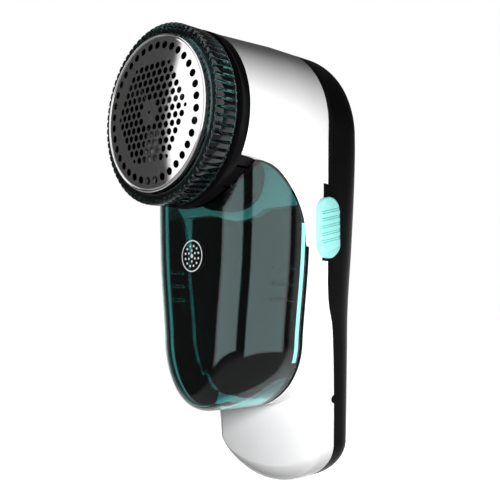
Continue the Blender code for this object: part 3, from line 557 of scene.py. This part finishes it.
def container_loop(y, wall=0.0):
    """The container's outline at depth y: its front corners and lower edge are rounded."""
    corner, lower = CORNER_RADIUS - wall, LOWER_EDGE_RADIUS - wall
    front = CONTAINER_FRONT + wall
    side_step = min(max(front + corner - y, 0.0), corner)
    low_step = min(max(front + lower - y, 0.0), lower)
    side_inset = wall + corner - sqrt(max(corner ** 2 - side_step ** 2, 0.0))
    low_inset = wall + lower - sqrt(max(lower ** 2 - low_step ** 2, 0.0))
    flank_steps, low_steps = 36, 40
    top = 0.0 if wall else -8.0
    heights = [top + (CONTAINER_SHOULDER - top) * i / flank_steps for i in range(flank_steps + 1)]
    right = [(flank_width(z) - side_inset, z) for z in heights]
    width = flank_width(CONTAINER_SHOULDER) - side_inset
    for i in range(1, low_steps + 1):
        angle = quarter(i, low_steps)
        right.append((width * cos(angle),
                      CONTAINER_SHOULDER - (CONTAINER_DROP - low_inset) * sin(angle)))
    left = [(-x, z) for x, z in reversed(right[:-1])]
    return [(x, y, z) for x, z in right + left]


def container_form(wall=0.0):
    """The container as a solid form, its surface moved inward by wall."""
    front, corner, steps = CONTAINER_FRONT + wall, CORNER_RADIUS - wall, 28
    depths = [front + corner * (1 - cos(quarter(i, steps))) for i in range(steps + 1)]
    back = CONTAINER_BACK + (3.0 if wall else 0.0)
    return loft([container_loop(y, wall) for y in depths + [back]])


def grip_ribs():
    """Three thin bars on each flank of the container, near its back edge."""
    bm = bmesh.new()
    for side in (-1, 1):
        for z in GRIP_HEIGHTS:
            bar = bmesh.ops.create_cube(bm, size=1.0)["verts"]
            bmesh.ops.scale(bm, vec=GRIP_SIZE, verts=bar)
            bmesh.ops.translate(bm, vec=(side * (flank_width(z) - 2.0), GRIP_Y, z), verts=bar)
    bars = rough_piece("grip_ribs", bm)
    boolean(bars, container_form(-GRIP_PROUD), "INTERSECT")
    return cut(bars, container_form(GRIP_SUNK))


def lint_container(surface):
    """Clear teal tub, open to the duct above and to the bay panel behind."""
    tub = moulding("lint_container_clear", container_form(), surface)
    cut(tub, container_form(CONTAINER_WALL))
    trim_top(tub)
    # The right wall gives way here to the strip of painted highlight
    cut(tub, block((0, HIGHLIGHT_FRONT, HIGHLIGHT_END), (OUTSIDE, HIGHLIGHT_BACK, HIGHLIGHT_TOP)))
    add(tub, grip_ribs())
    return settle(sharpen(tub), "container", "lint_container")


def trim_top(piece):
    """Cuts the container's top to the head's skirt and the bay's arc."""
    cut(piece, rod((0, 0, 0), (0, FAR, 0), SKIRT_RADIUS + GAP, 192))
    arc, top = arc_line(GAP), 20.0
    cut(piece, side_prism([(arc[0][0], IN_FRONT)] + arc
                          + [(-43.3, FAR), (top, FAR), (top, IN_FRONT)]))


def painted_highlight_strip(surface):
    """Painted highlight: a pale strip let into the tub's right wall, near its back edge."""
    rim = moulding("lint_container_painted_highlight",
                   loft([container_loop(y) for y in (HIGHLIGHT_FRONT, HIGHLIGHT_BACK)]), surface)
    cut(rim, loft([container_loop(y, CONTAINER_WALL) for y in (HIGHLIGHT_FRONT - 1, HIGHLIGHT_BACK + 1)]))
    low, high = -120, 20
    cut(rim, block((-OUTSIDE, NEAR, low), (0, FAR, high)))
    cut(rim, block((-OUTSIDE, NEAR, low), (OUTSIDE, FAR, HIGHLIGHT_END)))
    cut(rim, block((-OUTSIDE, NEAR, HIGHLIGHT_TOP), (OUTSIDE, FAR, high)))
    trim_top(rim)
    return settle(sharpen(rim), "container", "lint_container")


def disc(bm, x, y, z, outer, inner=0.0, segments=24):
    """A flat disc, or a flat ring, facing the front."""
    rings = [[bm.verts.new((x + out, y, z + up)) for out, _, up in ring_points(radius, y, segments)]
             for radius in (outer, inner) if radius]
    if inner:
        skin(bm, *rings)
    else:
        bm.faces.new(rings[0])


def front_mark(surface):
    """A plain printed mark on the container's front: dots in a circle."""
    y, z = CONTAINER_FRONT - 0.03, MARK_Z
    bm = bmesh.new()
    disc(bm, 0.0, y, z, 5.6, 5.2, 64)
    disc(bm, 0.0, y, z, 0.7)
    for ring_radius, count in ((1.9, 6), (3.6, 12)):
        for i in range(count):
            angle = 2 * pi * (i + 0.5) / count
            disc(bm, ring_radius * cos(angle), y, z + ring_radius * sin(angle), 0.42)
    return settle(rough_piece("front_mark", bm, surface), "container", None)


# ---- cutting head


def dome(radius, behind=0.0):
    """Where the foil's domed face is at a radius from the head axis, or a depth behind it."""
    return -FOIL_DOME * (1 - (radius / FOIL_RADIUS) ** 2) + behind


def foil_holes():
    """Every hole in the foil as (x, z, radius): a ring near the rim, a hexagonal field with smaller
    holes round it, and a hole in the middle."""
    holes = []
    for i in range(RIM_HOLES):
        angle = 2 * pi * (i + 0.4) / RIM_HOLES
        holes.append((RIM_HOLES_AT * cos(angle), RIM_HOLES_AT * sin(angle), RIM_HOLE))
    reach = 8
    for i in range(-reach, reach + 1):
        for j in range(-reach, reach + 1):
            across, up = HOLE_PITCH * (i + j / 2), HOLE_PITCH * j * sqrt(0.75)
            x = across * cos(HOLE_TURN) - up * sin(HOLE_TURN)
            z = across * sin(HOLE_TURN) + up * cos(HOLE_TURN)
            distance = hypot(x, z)
            if FIELD_START < distance < FIELD_END:
                holes.append((x, z, FIELD_HOLE))
            elif FIELD_END <= distance < FIELD_EDGE:
                holes.append((x, z, EDGE_HOLE))
    return holes + [(0.0, 0.0, MIDDLE_HOLE)]


def foil_sheet():
    """The perforated dome as an open mesh: front and back faces joined through every hole, with an
    open ring of points at SHEET_RADIUS on each face for the rim."""
    points, edges, holes = [], [], foil_holes()

    def ring(x, z, radius, count):
        start = len(points)
        for i, (out, _, up) in enumerate(ring_points(radius, 0.0, count)):
            points.append(Vector((x + out, z + up)))
            edges.append((start + i, start + (i + 1) % count))

    ring(0.0, 0.0, SHEET_RADIUS, FOIL_SEGMENTS)
    for x, z, radius in holes:
        ring(x, z, radius, 18 if radius > 1.0 else 12)
    step, rim_margin, hole_margin, in_hole = 0.95, 0.5, 0.4, 0.96
    for i in range(-30, 31):
        for j in range(-32, 33):
            x, z = step * (i + 0.5 * (j % 2)), step * j * sqrt(0.75)
            if hypot(x, z) < SHEET_RADIUS - rim_margin and all(
                    hypot(x - hx, z - hz) > hr + hole_margin for hx, hz, hr in holes):
                points.append(Vector((x, z)))
    flat, _, faces, origin, _, _ = delaunay_2d_cdt(points, edges, [], 0, 1e-6)
    bm = bmesh.new()
    front = [bm.verts.new((p.x, dome(p.length), p.y)) for p in flat]
    back = [bm.verts.new((p.x, dome(p.length, SHEET), p.y)) for p in flat]
    for face in faces:
        middle = sum((flat[k] for k in face), Vector((0, 0))) / len(face)
        if all(hypot(middle.x - hx, middle.y - hz) > hr * in_hole for hx, hz, hr in holes):
            bm.faces.new([front[k] for k in face])
            bm.faces.new([back[k] for k in reversed(face)])
    number = {source: k for k, sources in enumerate(origin) for source in sources}
    for a, b in edges[FOIL_SEGMENTS:]:
        a, b = number[a], number[b]
        bm.faces.new((front[a], front[b], back[b], back[a]))
    return bm


def mesh_foil(surface):
    """Domed steel foil: the perforated sheet, a shallow groove, the rolled rim and the flange."""
    bm = foil_sheet()
    edge = FOIL_RADIUS
    profile = [(SHEET_RADIUS, dome(SHEET_RADIUS)), (25.9, dome(25.9)), (26.05, -0.05), (26.2, 0.0)]
    for i in range(9):
        angle = pi * i / 8
        profile.append((edge - 0.4 - 0.4 * cos(angle), 0.05 - 0.5 * sin(angle)))
    flange_y = spot("mesh_foil")[1].y - 0.6
    profile += [(edge, 0.6), (edge, flange_y - 0.3), (edge + 0.3, flange_y),
                (FLANGE_RADIUS, flange_y), (FLANGE_RADIUS, flange_y + 0.4),
                (edge - 0.2, flange_y + 0.4), (edge - 0.4, flange_y), (edge - 0.4, 0.8),
                (26.0, 0.4), (SHEET_RADIUS, dome(SHEET_RADIUS, SHEET))]
    columns = [[bm.verts.new(point) for point in ring_points(r, y, FOIL_SEGMENTS)]
               for r, y in profile]
    for near, far in zip(columns, columns[1:]):
        skin(bm, near, far)
    bmesh.ops.remove_doubles(bm, verts=bm.verts, dist=1e-4)
    return settle(moulding("mesh_foil_perforated", bm, surface, 30), "foil_carrier", "mesh_foil")


def guard_ring(surface):
    """Clear teal screw ring: a smooth lip, a band of ribs, and a second, tapering band behind it.
    Lip and bore are (radius, y), and the bands are (radius, y, depth of the grooves)."""
    lip = [(27.4, 3.0), (27.4, 1.9), (27.6, 1.5), (28.1, 1.32), (29.2, 1.30), (29.8, 1.33)]
    band = [(30.5, 1.38, 0.5), (30.95, 1.55, 1.0), (31.2, 1.9, 1.1), (31.2, 5.0, 1.1),
            (31.2, 8.8, 1.1), (31.1, 9.1, 1.0), (30.6, 9.25, 0.5), (30.6, 9.45, 0.5),
            (30.95, 9.6, 0.9), (30.8, 10.2, 0.8), (30.2, 10.7, 0.0)]
    bore = [(29.2, 10.7), (29.0, 10.5), (29.0, 3.0)]
    steps = RIBS * STEPS_PER_RIB
    bm = bmesh.new()
    columns = []
    for r, y, depth in [(r, y, 0.0) for r, y in lip] + band + [(r, y, 0.0) for r, y in bore]:
        column = []
        for i in range(steps):
            angle, share = 2 * pi * i / steps, i / STEPS_PER_RIB % 1.0
            off = abs(2 * share - 1)
            groove = max(off - RIB_FLAT, 0.0) / (1 - RIB_FLAT)
            radius = r - depth * (RIB_CROWN * off ** 2 + (1 - RIB_CROWN) * groove)
            column.append(bm.verts.new((radius * cos(angle), y, radius * sin(angle))))
        columns.append(column)
    for near, far in zip(columns, columns[1:] + columns[:1]):
        skin(bm, near, far)
    bmesh.ops.remove_doubles(bm, verts=bm.verts, dist=1e-4)
    return settle(moulding("guard_ring_clear", bm, surface, 50), "lock_ring", "guard_ring")


# ---- slider


def power_slider(surface):
    """Mint thumb slider: a crowned stadium with slanted grip ribs and a chamfered lower end."""
    low, high = SLIDER_LOW.z, SLIDER_HIGH.z
    loops = [stadium(SLIDER_BASE_X, SLIDER_Y, low, high, SLIDER_WIDTH),
             stadium(SLIDER_TOP_X - 1.0, SLIDER_Y, low, high, SLIDER_WIDTH)]
    crown_steps = 5
    for i in range(1, crown_steps + 1):
        angle = quarter(i, crown_steps)
        inset = 0.9 * (1 - cos(angle))
        loops.append(stadium(SLIDER_TOP_X - 1.0 + 0.7 * sin(angle), SLIDER_Y, low + inset,
                             high - inset, SLIDER_WIDTH - 2 * inset))
    cap = moulding("power_slider_cap", loft(loops), surface)
    ribs, first, pitch, apart, half = 5, 6.2, 2.55, 0.75, SLIDER_WIDTH / 2 + 0.2
    rise = half * tan(radians(13))
    for i in range(ribs):
        for k in (0, 1):
            z = low + first + pitch * i + apart * k
            groove = []
            for x, width in ((SLIDER_TOP_X - 0.95, 0.14), (SLIDER_TOP_X + 0.5, 0.36)):
                groove.append([(x, SLIDER_Y - half, z - rise - width),
                               (x, SLIDER_Y + half, z + rise - width),
                               (x, SLIDER_Y + half, z + rise + width),
                               (x, SLIDER_Y - half, z - rise + width)])
            cut(cap, loft(groove))
    front, back, slant = SLIDER_Y - 8, SLIDER_Y + 8, 1.9
    facet = [[(x, front, low - 2), (x, back, low - 2), (x, back, low + top + slant),
              (x, front, low + top - slant)]
             for x, top in ((SLIDER_TOP_X - 1.4, 0.4), (SLIDER_TOP_X + 0.2, 5.0))]
    cut(cap, loft(facet))
    stem = [stadium(x, SLOT_Y, low + 7.8, low + 13.8, 3.0) for x in (26.5, SLIDER_BASE_X + 1)]
    add(cap, loft(stem))
    return settle(sharpen(cap, 30), "slider", "power_slider")


# ---- charging socket, screws


def charging_socket(surface):
    """Steel socket with a rounded mouth and a contact tongue."""
    low, high = spot("charging_socket")
    wall = 0.4
    shell = moulding("charging_socket_shell",
                     rounded_slot(low.x, high.x, low.y, high.y, low.z, high.z, 1.6), surface)
    cut(shell, rounded_slot(low.x + wall, high.x - wall, low.y + wall, high.y - wall, low.z - 5,
                            high.z - 1.0, 1.2))
    middle = (low.y + high.y) / 2
    add(shell, block((-3.0, middle - 0.3, low.z + 0.6), (3.0, middle + 0.3, high.z - 0.5)))
    return settle(sharpen(shell), "casing", "charging_socket")


def case_screw(index, surface):
    """A pan-headed screw with a cross recess."""
    node = f"case_screw_{index}"
    low, high, x, z = spot_axis(node)
    radius, under, thread = (high.x - low.x) / 2, high.y - 1.8, 1.1
    crown = [(0.0, high.y)] + [(radius * sin(a), high.y - 0.9 * (1 - cos(a)))
                               for a in (quarter(i, 8) for i in range(1, 9))]
    form = turned_at(x, z, crown + [(radius, under), (thread, under), (thread, low.y + 1.2),
                                    (0.6, low.y), (0.0, low.y)])
    screw = moulding(f"{node}_pan", form, surface)
    for width, height in ((0.3, 1.4), (1.4, 0.3)):
        cut(screw, loft([[(x + sx * width * k, y, z + sz * height * k)
                          for sx, sz in ((-1, -1), (1, -1), (1, 1), (-1, 1))]
                         for y, k in ((high.y + 0.5, 1.15), (high.y - 1.1, 0.75))]))
    return settle(sharpen(screw), "casing", node)


# ---- materials

NOISE_SPAN = (0.3, 0.7)  # where nearly all of a noise's values lie


def new_node(tree, kind, **settings):
    made = tree.nodes.new(kind)
    for name, value in settings.items():
        setattr(made, name, value)
    return made


class Surface:
    """A Principled material under construction, with helpers that wire its nodes."""

    def __init__(self, name, **values):
        self.material = bpy.data.materials.new(name)
        self.material.use_nodes = True
        self.tree = self.material.node_tree
        self.shader = self.tree.nodes["Principled BSDF"]
        for socket, value in values.items():
            self.shader.inputs[socket.replace("_", " ")].default_value = value
        self.place = self.tree.nodes.new("ShaderNodeTexCoord").outputs["Object"]

    def node(self, kind, **settings):
        return new_node(self.tree, kind, **settings)

    def link(self, source, target):
        self.tree.links.new(source, target)

    def noise(self, scale, detail=4.0, stretch=None):
        """A noise value at so many cells per metre, stretched along an axis if asked."""
        made = self.node("ShaderNodeTexNoise")
        made.inputs["Scale"].default_value = scale
        made.inputs["Detail"].default_value = detail
        place = self.place
        if stretch:
            mapping = self.node("ShaderNodeMapping")
            mapping.inputs["Scale"].default_value = stretch
            self.link(place, mapping.inputs["Vector"])
            place = mapping.outputs["Vector"]
        self.link(place, made.inputs["Vector"])
        return made.outputs["Fac"]

    def remap(self, value, start, end, low, high):
        """Carries a value between start and end over to one between low and high."""
        span = self.node("ShaderNodeMapRange")
        for socket, number in zip(("From Min", "From Max", "To Min", "To Max"),
                                  (start, end, low, high)):
            span.inputs[socket].default_value = number
        self.link(value, span.inputs["Value"])
        return span.outputs["Result"]

    def vary(self, socket, value, low, high):
        """Drives a number on the shader from a noise value, between low and high."""
        self.link(self.remap(value, *NOISE_SPAN, low, high), self.shader.inputs[socket])

    def tint(self, value, low, high):
        """Mixes two colours by a noise value into the base colour."""
        ramp = self.node("ShaderNodeValToRGB")
        for element, position, colour in zip(ramp.color_ramp.elements, NOISE_SPAN, (low, high)):
            element.position, element.color = position, (*colour, 1.0)
        self.link(value, ramp.inputs["Fac"])
        self.link(ramp.outputs["Color"], self.shader.inputs["Base Color"])

    def relief(self, value, strength, distance=0.0001, edge=0.0):
        """Bumps the surface by a value, over edges rounded by the given radius in metres."""
        bump = self.node("ShaderNodeBump")
        bump.inputs["Strength"].default_value = strength
        bump.inputs["Distance"].default_value = distance
        self.link(value, bump.inputs["Height"])
        if edge:
            bevel = self.node("ShaderNodeBevel", samples=6)
            bevel.inputs["Radius"].default_value = edge
            self.link(bevel.outputs["Normal"], bump.inputs["Normal"])
        self.link(bump.outputs["Normal"], self.shader.inputs["Normal"])


def white_gloss():
    made = Surface("white_gloss", IOR=1.5)
    made.tint(made.noise(60.0, 3.0), (0.925, 0.925, 0.93), (0.94, 0.94, 0.945))
    made.vary("Roughness", made.noise(320.0), 0.09, 0.15)
    made.relief(made.noise(900.0, 2.0), 0.015, edge=0.00025)
    return made.material


def black_satin(name, roughness, shine):
    made = Surface(name, IOR=1.5, Specular_IOR_Level=shine)
    made.tint(made.noise(140.0), (0.0022, 0.0022, 0.0024), (0.0032, 0.0032, 0.0035))
    made.vary("Roughness", made.noise(700.0), roughness - 0.05, roughness + 0.05)
    made.relief(made.noise(5200.0, 3.0), 0.10, edge=0.0002)
    return made.material


def clear_teal(name, tint, shine=0.7):
    made = Surface(name, IOR=1.49, Specular_IOR_Level=shine, Transmission_Weight=1.0)
    made.tint(made.noise(90.0, 2.0), tint, tuple(min(c * 1.06, 1.0) for c in tint))
    made.vary("Roughness", made.noise(420.0, 5.0), 0.0, 0.05)
    made.relief(made.noise(120.0, 2.0), 0.01, edge=0.0002)
    return made.material


def polished_foil():
    """Polished steel. Its shading is turned a little to the right, which moves the front light's
    reflection across the dome."""
    made = Surface("foil_polished", Metallic=1.0)
    made.tint(made.noise(400.0, 3.0), (0.62, 0.61, 0.61), (0.66, 0.65, 0.65))
    made.vary("Roughness", made.noise(240.0, 6.0), 0.05, 0.11)
    made.relief(made.noise(2600.0, 4.0, stretch=(1.0, 1.0, 0.08)), 0.02)
    turned_right = made.node("ShaderNodeVectorMath", operation="ADD")
    turned_right.inputs[1].default_value = (FOIL_TURN, 0.0, 0.0)
    unit = made.node("ShaderNodeVectorMath", operation="NORMALIZE")
    bump = made.shader.inputs["Normal"].links[0].from_node
    made.link(made.node("ShaderNodeNewGeometry").outputs["Normal"], turned_right.inputs[0])
    made.link(turned_right.outputs[0], unit.inputs[0])
    made.link(unit.outputs[0], bump.inputs["Normal"])
    return made.material


def mint_satin():
    made = Surface("mint_satin", IOR=1.48)
    made.tint(made.noise(150.0), (0.24, 0.60, 0.57), (0.26, 0.63, 0.60))
    made.vary("Roughness", made.noise(500.0), 0.26, 0.36)
    made.relief(made.noise(3600.0), 0.05, edge=0.00015)
    return made.material


def metal(name, low, high, roughness, stretch=None):
    """Bare metal, brushed along an axis if a stretch is given."""
    made = Surface(name, Metallic=1.0)
    made.tint(made.noise(300.0), low, high)
    made.vary("Roughness", made.noise(900.0, 6.0, stretch), roughness - 0.06, roughness + 0.08)
    made.relief(made.noise(3000.0, 4.0, stretch), 0.08)
    return made.material


def plastic(name, low, high, roughness):
    made = Surface(name, IOR=1.47)
    made.tint(made.noise(250.0), low, high)
    made.vary("Roughness", made.noise(800.0), roughness - 0.06, roughness + 0.06)
    made.relief(made.noise(4000.0), 0.08)
    return made.material


def wound_copper():
    """Enamelled wire: fine turns across the armature."""
    made = Surface("copper_wound", Metallic=1.0)
    wave = made.node("ShaderNodeTexWave", bands_direction="Y")
    wave.inputs["Scale"].default_value = 700.0
    wave.inputs["Distortion"].default_value = 0.6
    made.link(made.place, wave.inputs["Vector"])
    made.tint(wave.outputs["Fac"], (0.42, 0.15, 0.05), (0.72, 0.33, 0.14))
    made.vary("Roughness", made.noise(900.0), 0.22, 0.36)
    made.relief(wave.outputs["Fac"], 0.5, 0.0002)
    return made.material


def masked_board():
    """Green solder mask with pale pads showing through."""
    made = Surface("board_masked", Roughness=0.4)
    cells = made.node("ShaderNodeTexVoronoi")
    cells.inputs["Scale"].default_value = 420.0
    made.link(made.place, cells.inputs["Vector"])
    pads = made.remap(cells.outputs["Distance"], 0.22, 0.26, *reversed(NOISE_SPAN))
    made.tint(pads, (0.015, 0.16, 0.07), (0.55, 0.52, 0.42))
    made.relief(made.noise(1500.0), 0.1)
    return made.material


# ---- the object

white = white_gloss()
black = black_satin("black_satin", 0.33, 0.03)
black_gloss = black_satin("black_gloss", 0.16, 0.06)
teal = clear_teal("clear_teal", (0.40, 0.98, 0.95))
ring_teal = clear_teal("clear_teal_ring", (0.05, 0.13, 0.13), shine=1.0)
# Pale teal for the strip of painted highlight in the tub's right wall
painted_highlight_teal = plastic("teal_painted_highlight", (0.22, 0.60, 0.59), (0.26, 0.65, 0.63), 0.14)
foil = polished_foil()
mint = mint_satin()
blade = metal("blade_ground", (0.07, 0.07, 0.075), (0.11, 0.11, 0.115), 0.36,
              stretch=(1.0, 0.1, 1.0))
plated = metal("steel_plated", (0.45, 0.45, 0.46), (0.58, 0.58, 0.59), 0.32)
brass = metal("brass_bare", (0.66, 0.48, 0.20), (0.80, 0.62, 0.32), 0.3)
inner = plastic("inner_moulding", (0.62, 0.62, 0.60), (0.70, 0.70, 0.68), 0.45)
wrap = plastic("cell_shrink_wrap", (0.03, 0.10, 0.34), (0.05, 0.15, 0.42), 0.28)
red = plastic("lead_red_soft", (0.50, 0.02, 0.015), (0.62, 0.04, 0.03), 0.5)
dark = plastic("lead_black_soft", (0.012, 0.012, 0.012), (0.025, 0.025, 0.025), 0.5)
mark = plastic("mark_white", (0.84, 0.86, 0.86), (0.90, 0.92, 0.92), 0.4)

front_shell(white)
rear_cover(black)
head_base(black_gloss)
bay_panel(black)
lint_container(teal)
# The strip of painted highlight in the tub's right wall
painted_highlight_strip(painted_highlight_teal)
front_mark(mark)
mesh_foil(foil)
guard_ring(ring_teal)
power_slider(mint)
charging_socket(plated)
for screw_index in range(1, 5):
    case_screw(screw_index, plated)

# The CAD nodes that are shown as they are, by material
CARRIED = {
    blade: ("cutting_blade_1", "cutting_blade_2", "cutting_blade_3", "motor_shaft", "blade_spring",
            "motor_screw_left", "motor_screw_right"),
    black: ("blade_hub",),
    plated: ("motor_can",),
    wound_copper(): ("motor_armature",),
    brass: ("shaft_bush", "drive_collar", "motor_terminal_left", "motor_terminal_right",
            "battery_tab_top", "battery_tab_bottom"),
    inner: ("motor_end_cap", "switch_body", "switch_lever"),
    wrap: ("battery_cell",),
    masked_board(): ("circuit_board",),
    red: ("lead_motor_red", "lead_switch_red"),
    dark: ("lead_motor_black", "lead_socket_black"),
    teal: ("charge_light",),
}
for material, nodes in CARRIED.items():
    for node in nodes:
        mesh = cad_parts[node].data
        mesh.materials.clear()
        mesh.materials.append(material)

# ---- studio

# Lit parts of the surroundings in degrees, as (low, high, soft edge). Azimuth counts from the front
# to the right, and ALL is past every angle.
ALL = 400.0
FRONT_BOX, FRONT_BOX_HEIGHT = (-26.5, 19.0, 1.5), (-10.0, ALL, 0.7)
SIDE_BOX, SIDE_BOX_HEIGHT = (38.0, 121.0, 2.0), (-19.0, ALL, 1.5)
REAR_RIGHT, REAR_LEFT, REAR_HEIGHT = (135.0, ALL, 6.0), (-ALL, -102.0, 3.0), (-ALL, 8.0, 4.0)
UNDER_HEIGHT = (-ALL, -16.0, 6.0)
EDGE_LIGHT, BACK_LIGHT = (-114.0, -105.0, 3.0), (150.0, ALL, 6.0)
ROOM_HEIGHT = (-25.0, 12.0, 20.0)
BOX_LEVEL, UNDER_LEVEL, DARK_LEVEL, EDGE_LEVEL, BACK_LEVEL = 1.7, 0.35, 0.087, 0.35, 0.3
ROOM_LEVEL, ROOM_DARK = 0.05, 0.06

EYE, AZIMUTH, ELEVATION, LENS = (211.35, -157.44, -64.90), 46.2, -4.0, 56.16


def studio_world():
    """White to the camera, soft bands in reflections, fewer of them through clear parts, and a dim
    room for diffuse light."""
    world = bpy.data.worlds.new("studio")
    bpy.context.scene.world = world
    world.use_nodes = True
    world.cycles.sampling_method = "NONE"
    tree = world.node_tree
    tree.nodes.clear()
    link = tree.links.new

    def maths(operation, a, b=None, c=None):
        made = new_node(tree, "ShaderNodeMath", operation=operation)
        for socket, value in zip(made.inputs, (a, b, c)):
            if hasattr(value, "links"):
                link(value, socket)
            elif value is not None:
                socket.default_value = value
        return made.outputs[0]

    axes = new_node(tree, "ShaderNodeSeparateXYZ")
    link(new_node(tree, "ShaderNodeTexCoord").outputs["Generated"], axes.inputs[0])
    x, y, z = axes.outputs
    azimuth = maths("MULTIPLY", maths("ARCTAN2", x, maths("MULTIPLY", y, -1.0)), 180 / pi)
    height = maths("MULTIPLY", maths("ARCSINE", z), 180 / pi)

    def window(value, low, high, soft):
        """1 between two values and 0 outside, with soft edges."""
        steps = []
        for start, end in ((low - soft, low + soft), (high + soft, high - soft)):
            made = new_node(tree, "ShaderNodeMapRange", interpolation_type="SMOOTHSTEP")
            made.inputs["From Min"].default_value = start
            made.inputs["From Max"].default_value = end
            link(value, made.inputs["Value"])
            steps.append(made.outputs[0])
        return maths("MULTIPLY", *steps)

    front_box = maths("MULTIPLY", window(azimuth, *FRONT_BOX), window(height, *FRONT_BOX_HEIGHT))
    side_box = maths("MULTIPLY", window(azimuth, *SIDE_BOX), window(height, *SIDE_BOX_HEIGHT))
    boxes = maths("MULTIPLY", maths("ADD", front_box, side_box), BOX_LEVEL)
    rear_box = maths("ADD", window(azimuth, *REAR_RIGHT), window(azimuth, *REAR_LEFT))
    rear_box = maths("MULTIPLY", rear_box, window(height, *REAR_HEIGHT))
    under = maths("MULTIPLY_ADD", window(height, *UNDER_HEIGHT), UNDER_LEVEL, DARK_LEVEL)
    bands = maths("ADD", maths("ADD", boxes, rear_box), under)
    edge_light = maths("MULTIPLY", window(azimuth, *EDGE_LIGHT), EDGE_LEVEL)
    back_light = maths("MULTIPLY", window(azimuth, *BACK_LIGHT), BACK_LEVEL)
    through = maths("ADD", boxes, maths("ADD", edge_light, back_light))
    room = maths("MULTIPLY_ADD", window(height, *ROOM_HEIGHT), ROOM_LEVEL, ROOM_DARK)

    path = new_node(tree, "ShaderNodeLightPath")
    level = room
    for ray, value in (("Is Glossy Ray", bands), ("Is Transmission Ray", through),
                       ("Is Camera Ray", 1.0)):
        mix = new_node(tree, "ShaderNodeMix")
        link(path.outputs[ray], mix.inputs["Factor"])
        link(level, mix.inputs["A"])
        if isinstance(value, float):
            mix.inputs["B"].default_value = value
        else:
            link(value, mix.inputs["B"])
        level = mix.outputs["Result"]
    background = new_node(tree, "ShaderNodeBackground")
    output = new_node(tree, "ShaderNodeOutputWorld")
    background.inputs["Color"].default_value = (1, 1, 1, 1)
    link(level, background.inputs["Strength"])
    link(background.outputs[0], output.inputs[0])


def soft_light(name, place, target, size, power):
    """A square area light that the camera, reflections and clear parts don't see."""
    light = bpy.data.lights.new(name, "AREA")
    light.shape, light.size, light.energy = "SQUARE", size, power
    made = new_object(name, light)
    made.location = place
    made.rotation_euler = (Vector(target) - Vector(place)).to_track_quat("-Z", "Y").to_euler()
    made.visible_camera = made.visible_glossy = made.visible_transmission = False


def pale_floor():
    """A wide plain floor that mostly glows by itself, with a faint shadow under the object."""
    bm = bmesh.new()
    bmesh.ops.create_grid(bm, x_segments=8, y_segments=8, size=6.0)
    mesh = bpy.data.meshes.new("floor")
    bm.to_mesh(mesh)
    bm.free()
    floor = new_object("floor", mesh)
    paint = Surface("floor_paint", Roughness=0.9)
    paint.tint(paint.noise(3.0), (0.80, 0.80, 0.80), (0.84, 0.84, 0.84))
    paint.shader.inputs["Emission Color"].default_value = (1, 1, 1, 1)
    paint.shader.inputs["Emission Strength"].default_value = 0.93
    mesh.materials.append(paint.material)
    floor.visible_diffuse = floor.visible_glossy = floor.visible_transmission = False


def photo_camera():
    """The camera at the photograph's viewing angle, a little below the head."""
    azimuth, elevation = radians(AZIMUTH), radians(ELEVATION)
    level = cos(elevation)
    forward = Vector((-sin(azimuth) * level, cos(azimuth) * level, -sin(elevation)))
    right = Vector((cos(azimuth), sin(azimuth), 0.0))
    axes = Matrix((right, right.cross(forward), -forward)).transposed().to_4x4()
    camera = bpy.data.cameras.new("camera")
    camera.lens, camera.clip_start = LENS, 0.01
    made = new_object("camera", camera)
    made.matrix_world = Matrix.Translation(HEAD + Vector(EYE) * MM) @ axes
    bpy.context.scene.camera = made


studio_world()
soft_light("light_right", (0.117, -0.068, 0.062), target=(0.0, 0.0, 0.06), size=0.04, power=0.34)
soft_light("light_left", (-0.160, 0.070, 0.080), target=(0.0, 0.0, 0.08), size=0.07, power=0.40)
pale_floor()
photo_camera()
bpy.context.scene.view_settings.view_transform = "Standard"
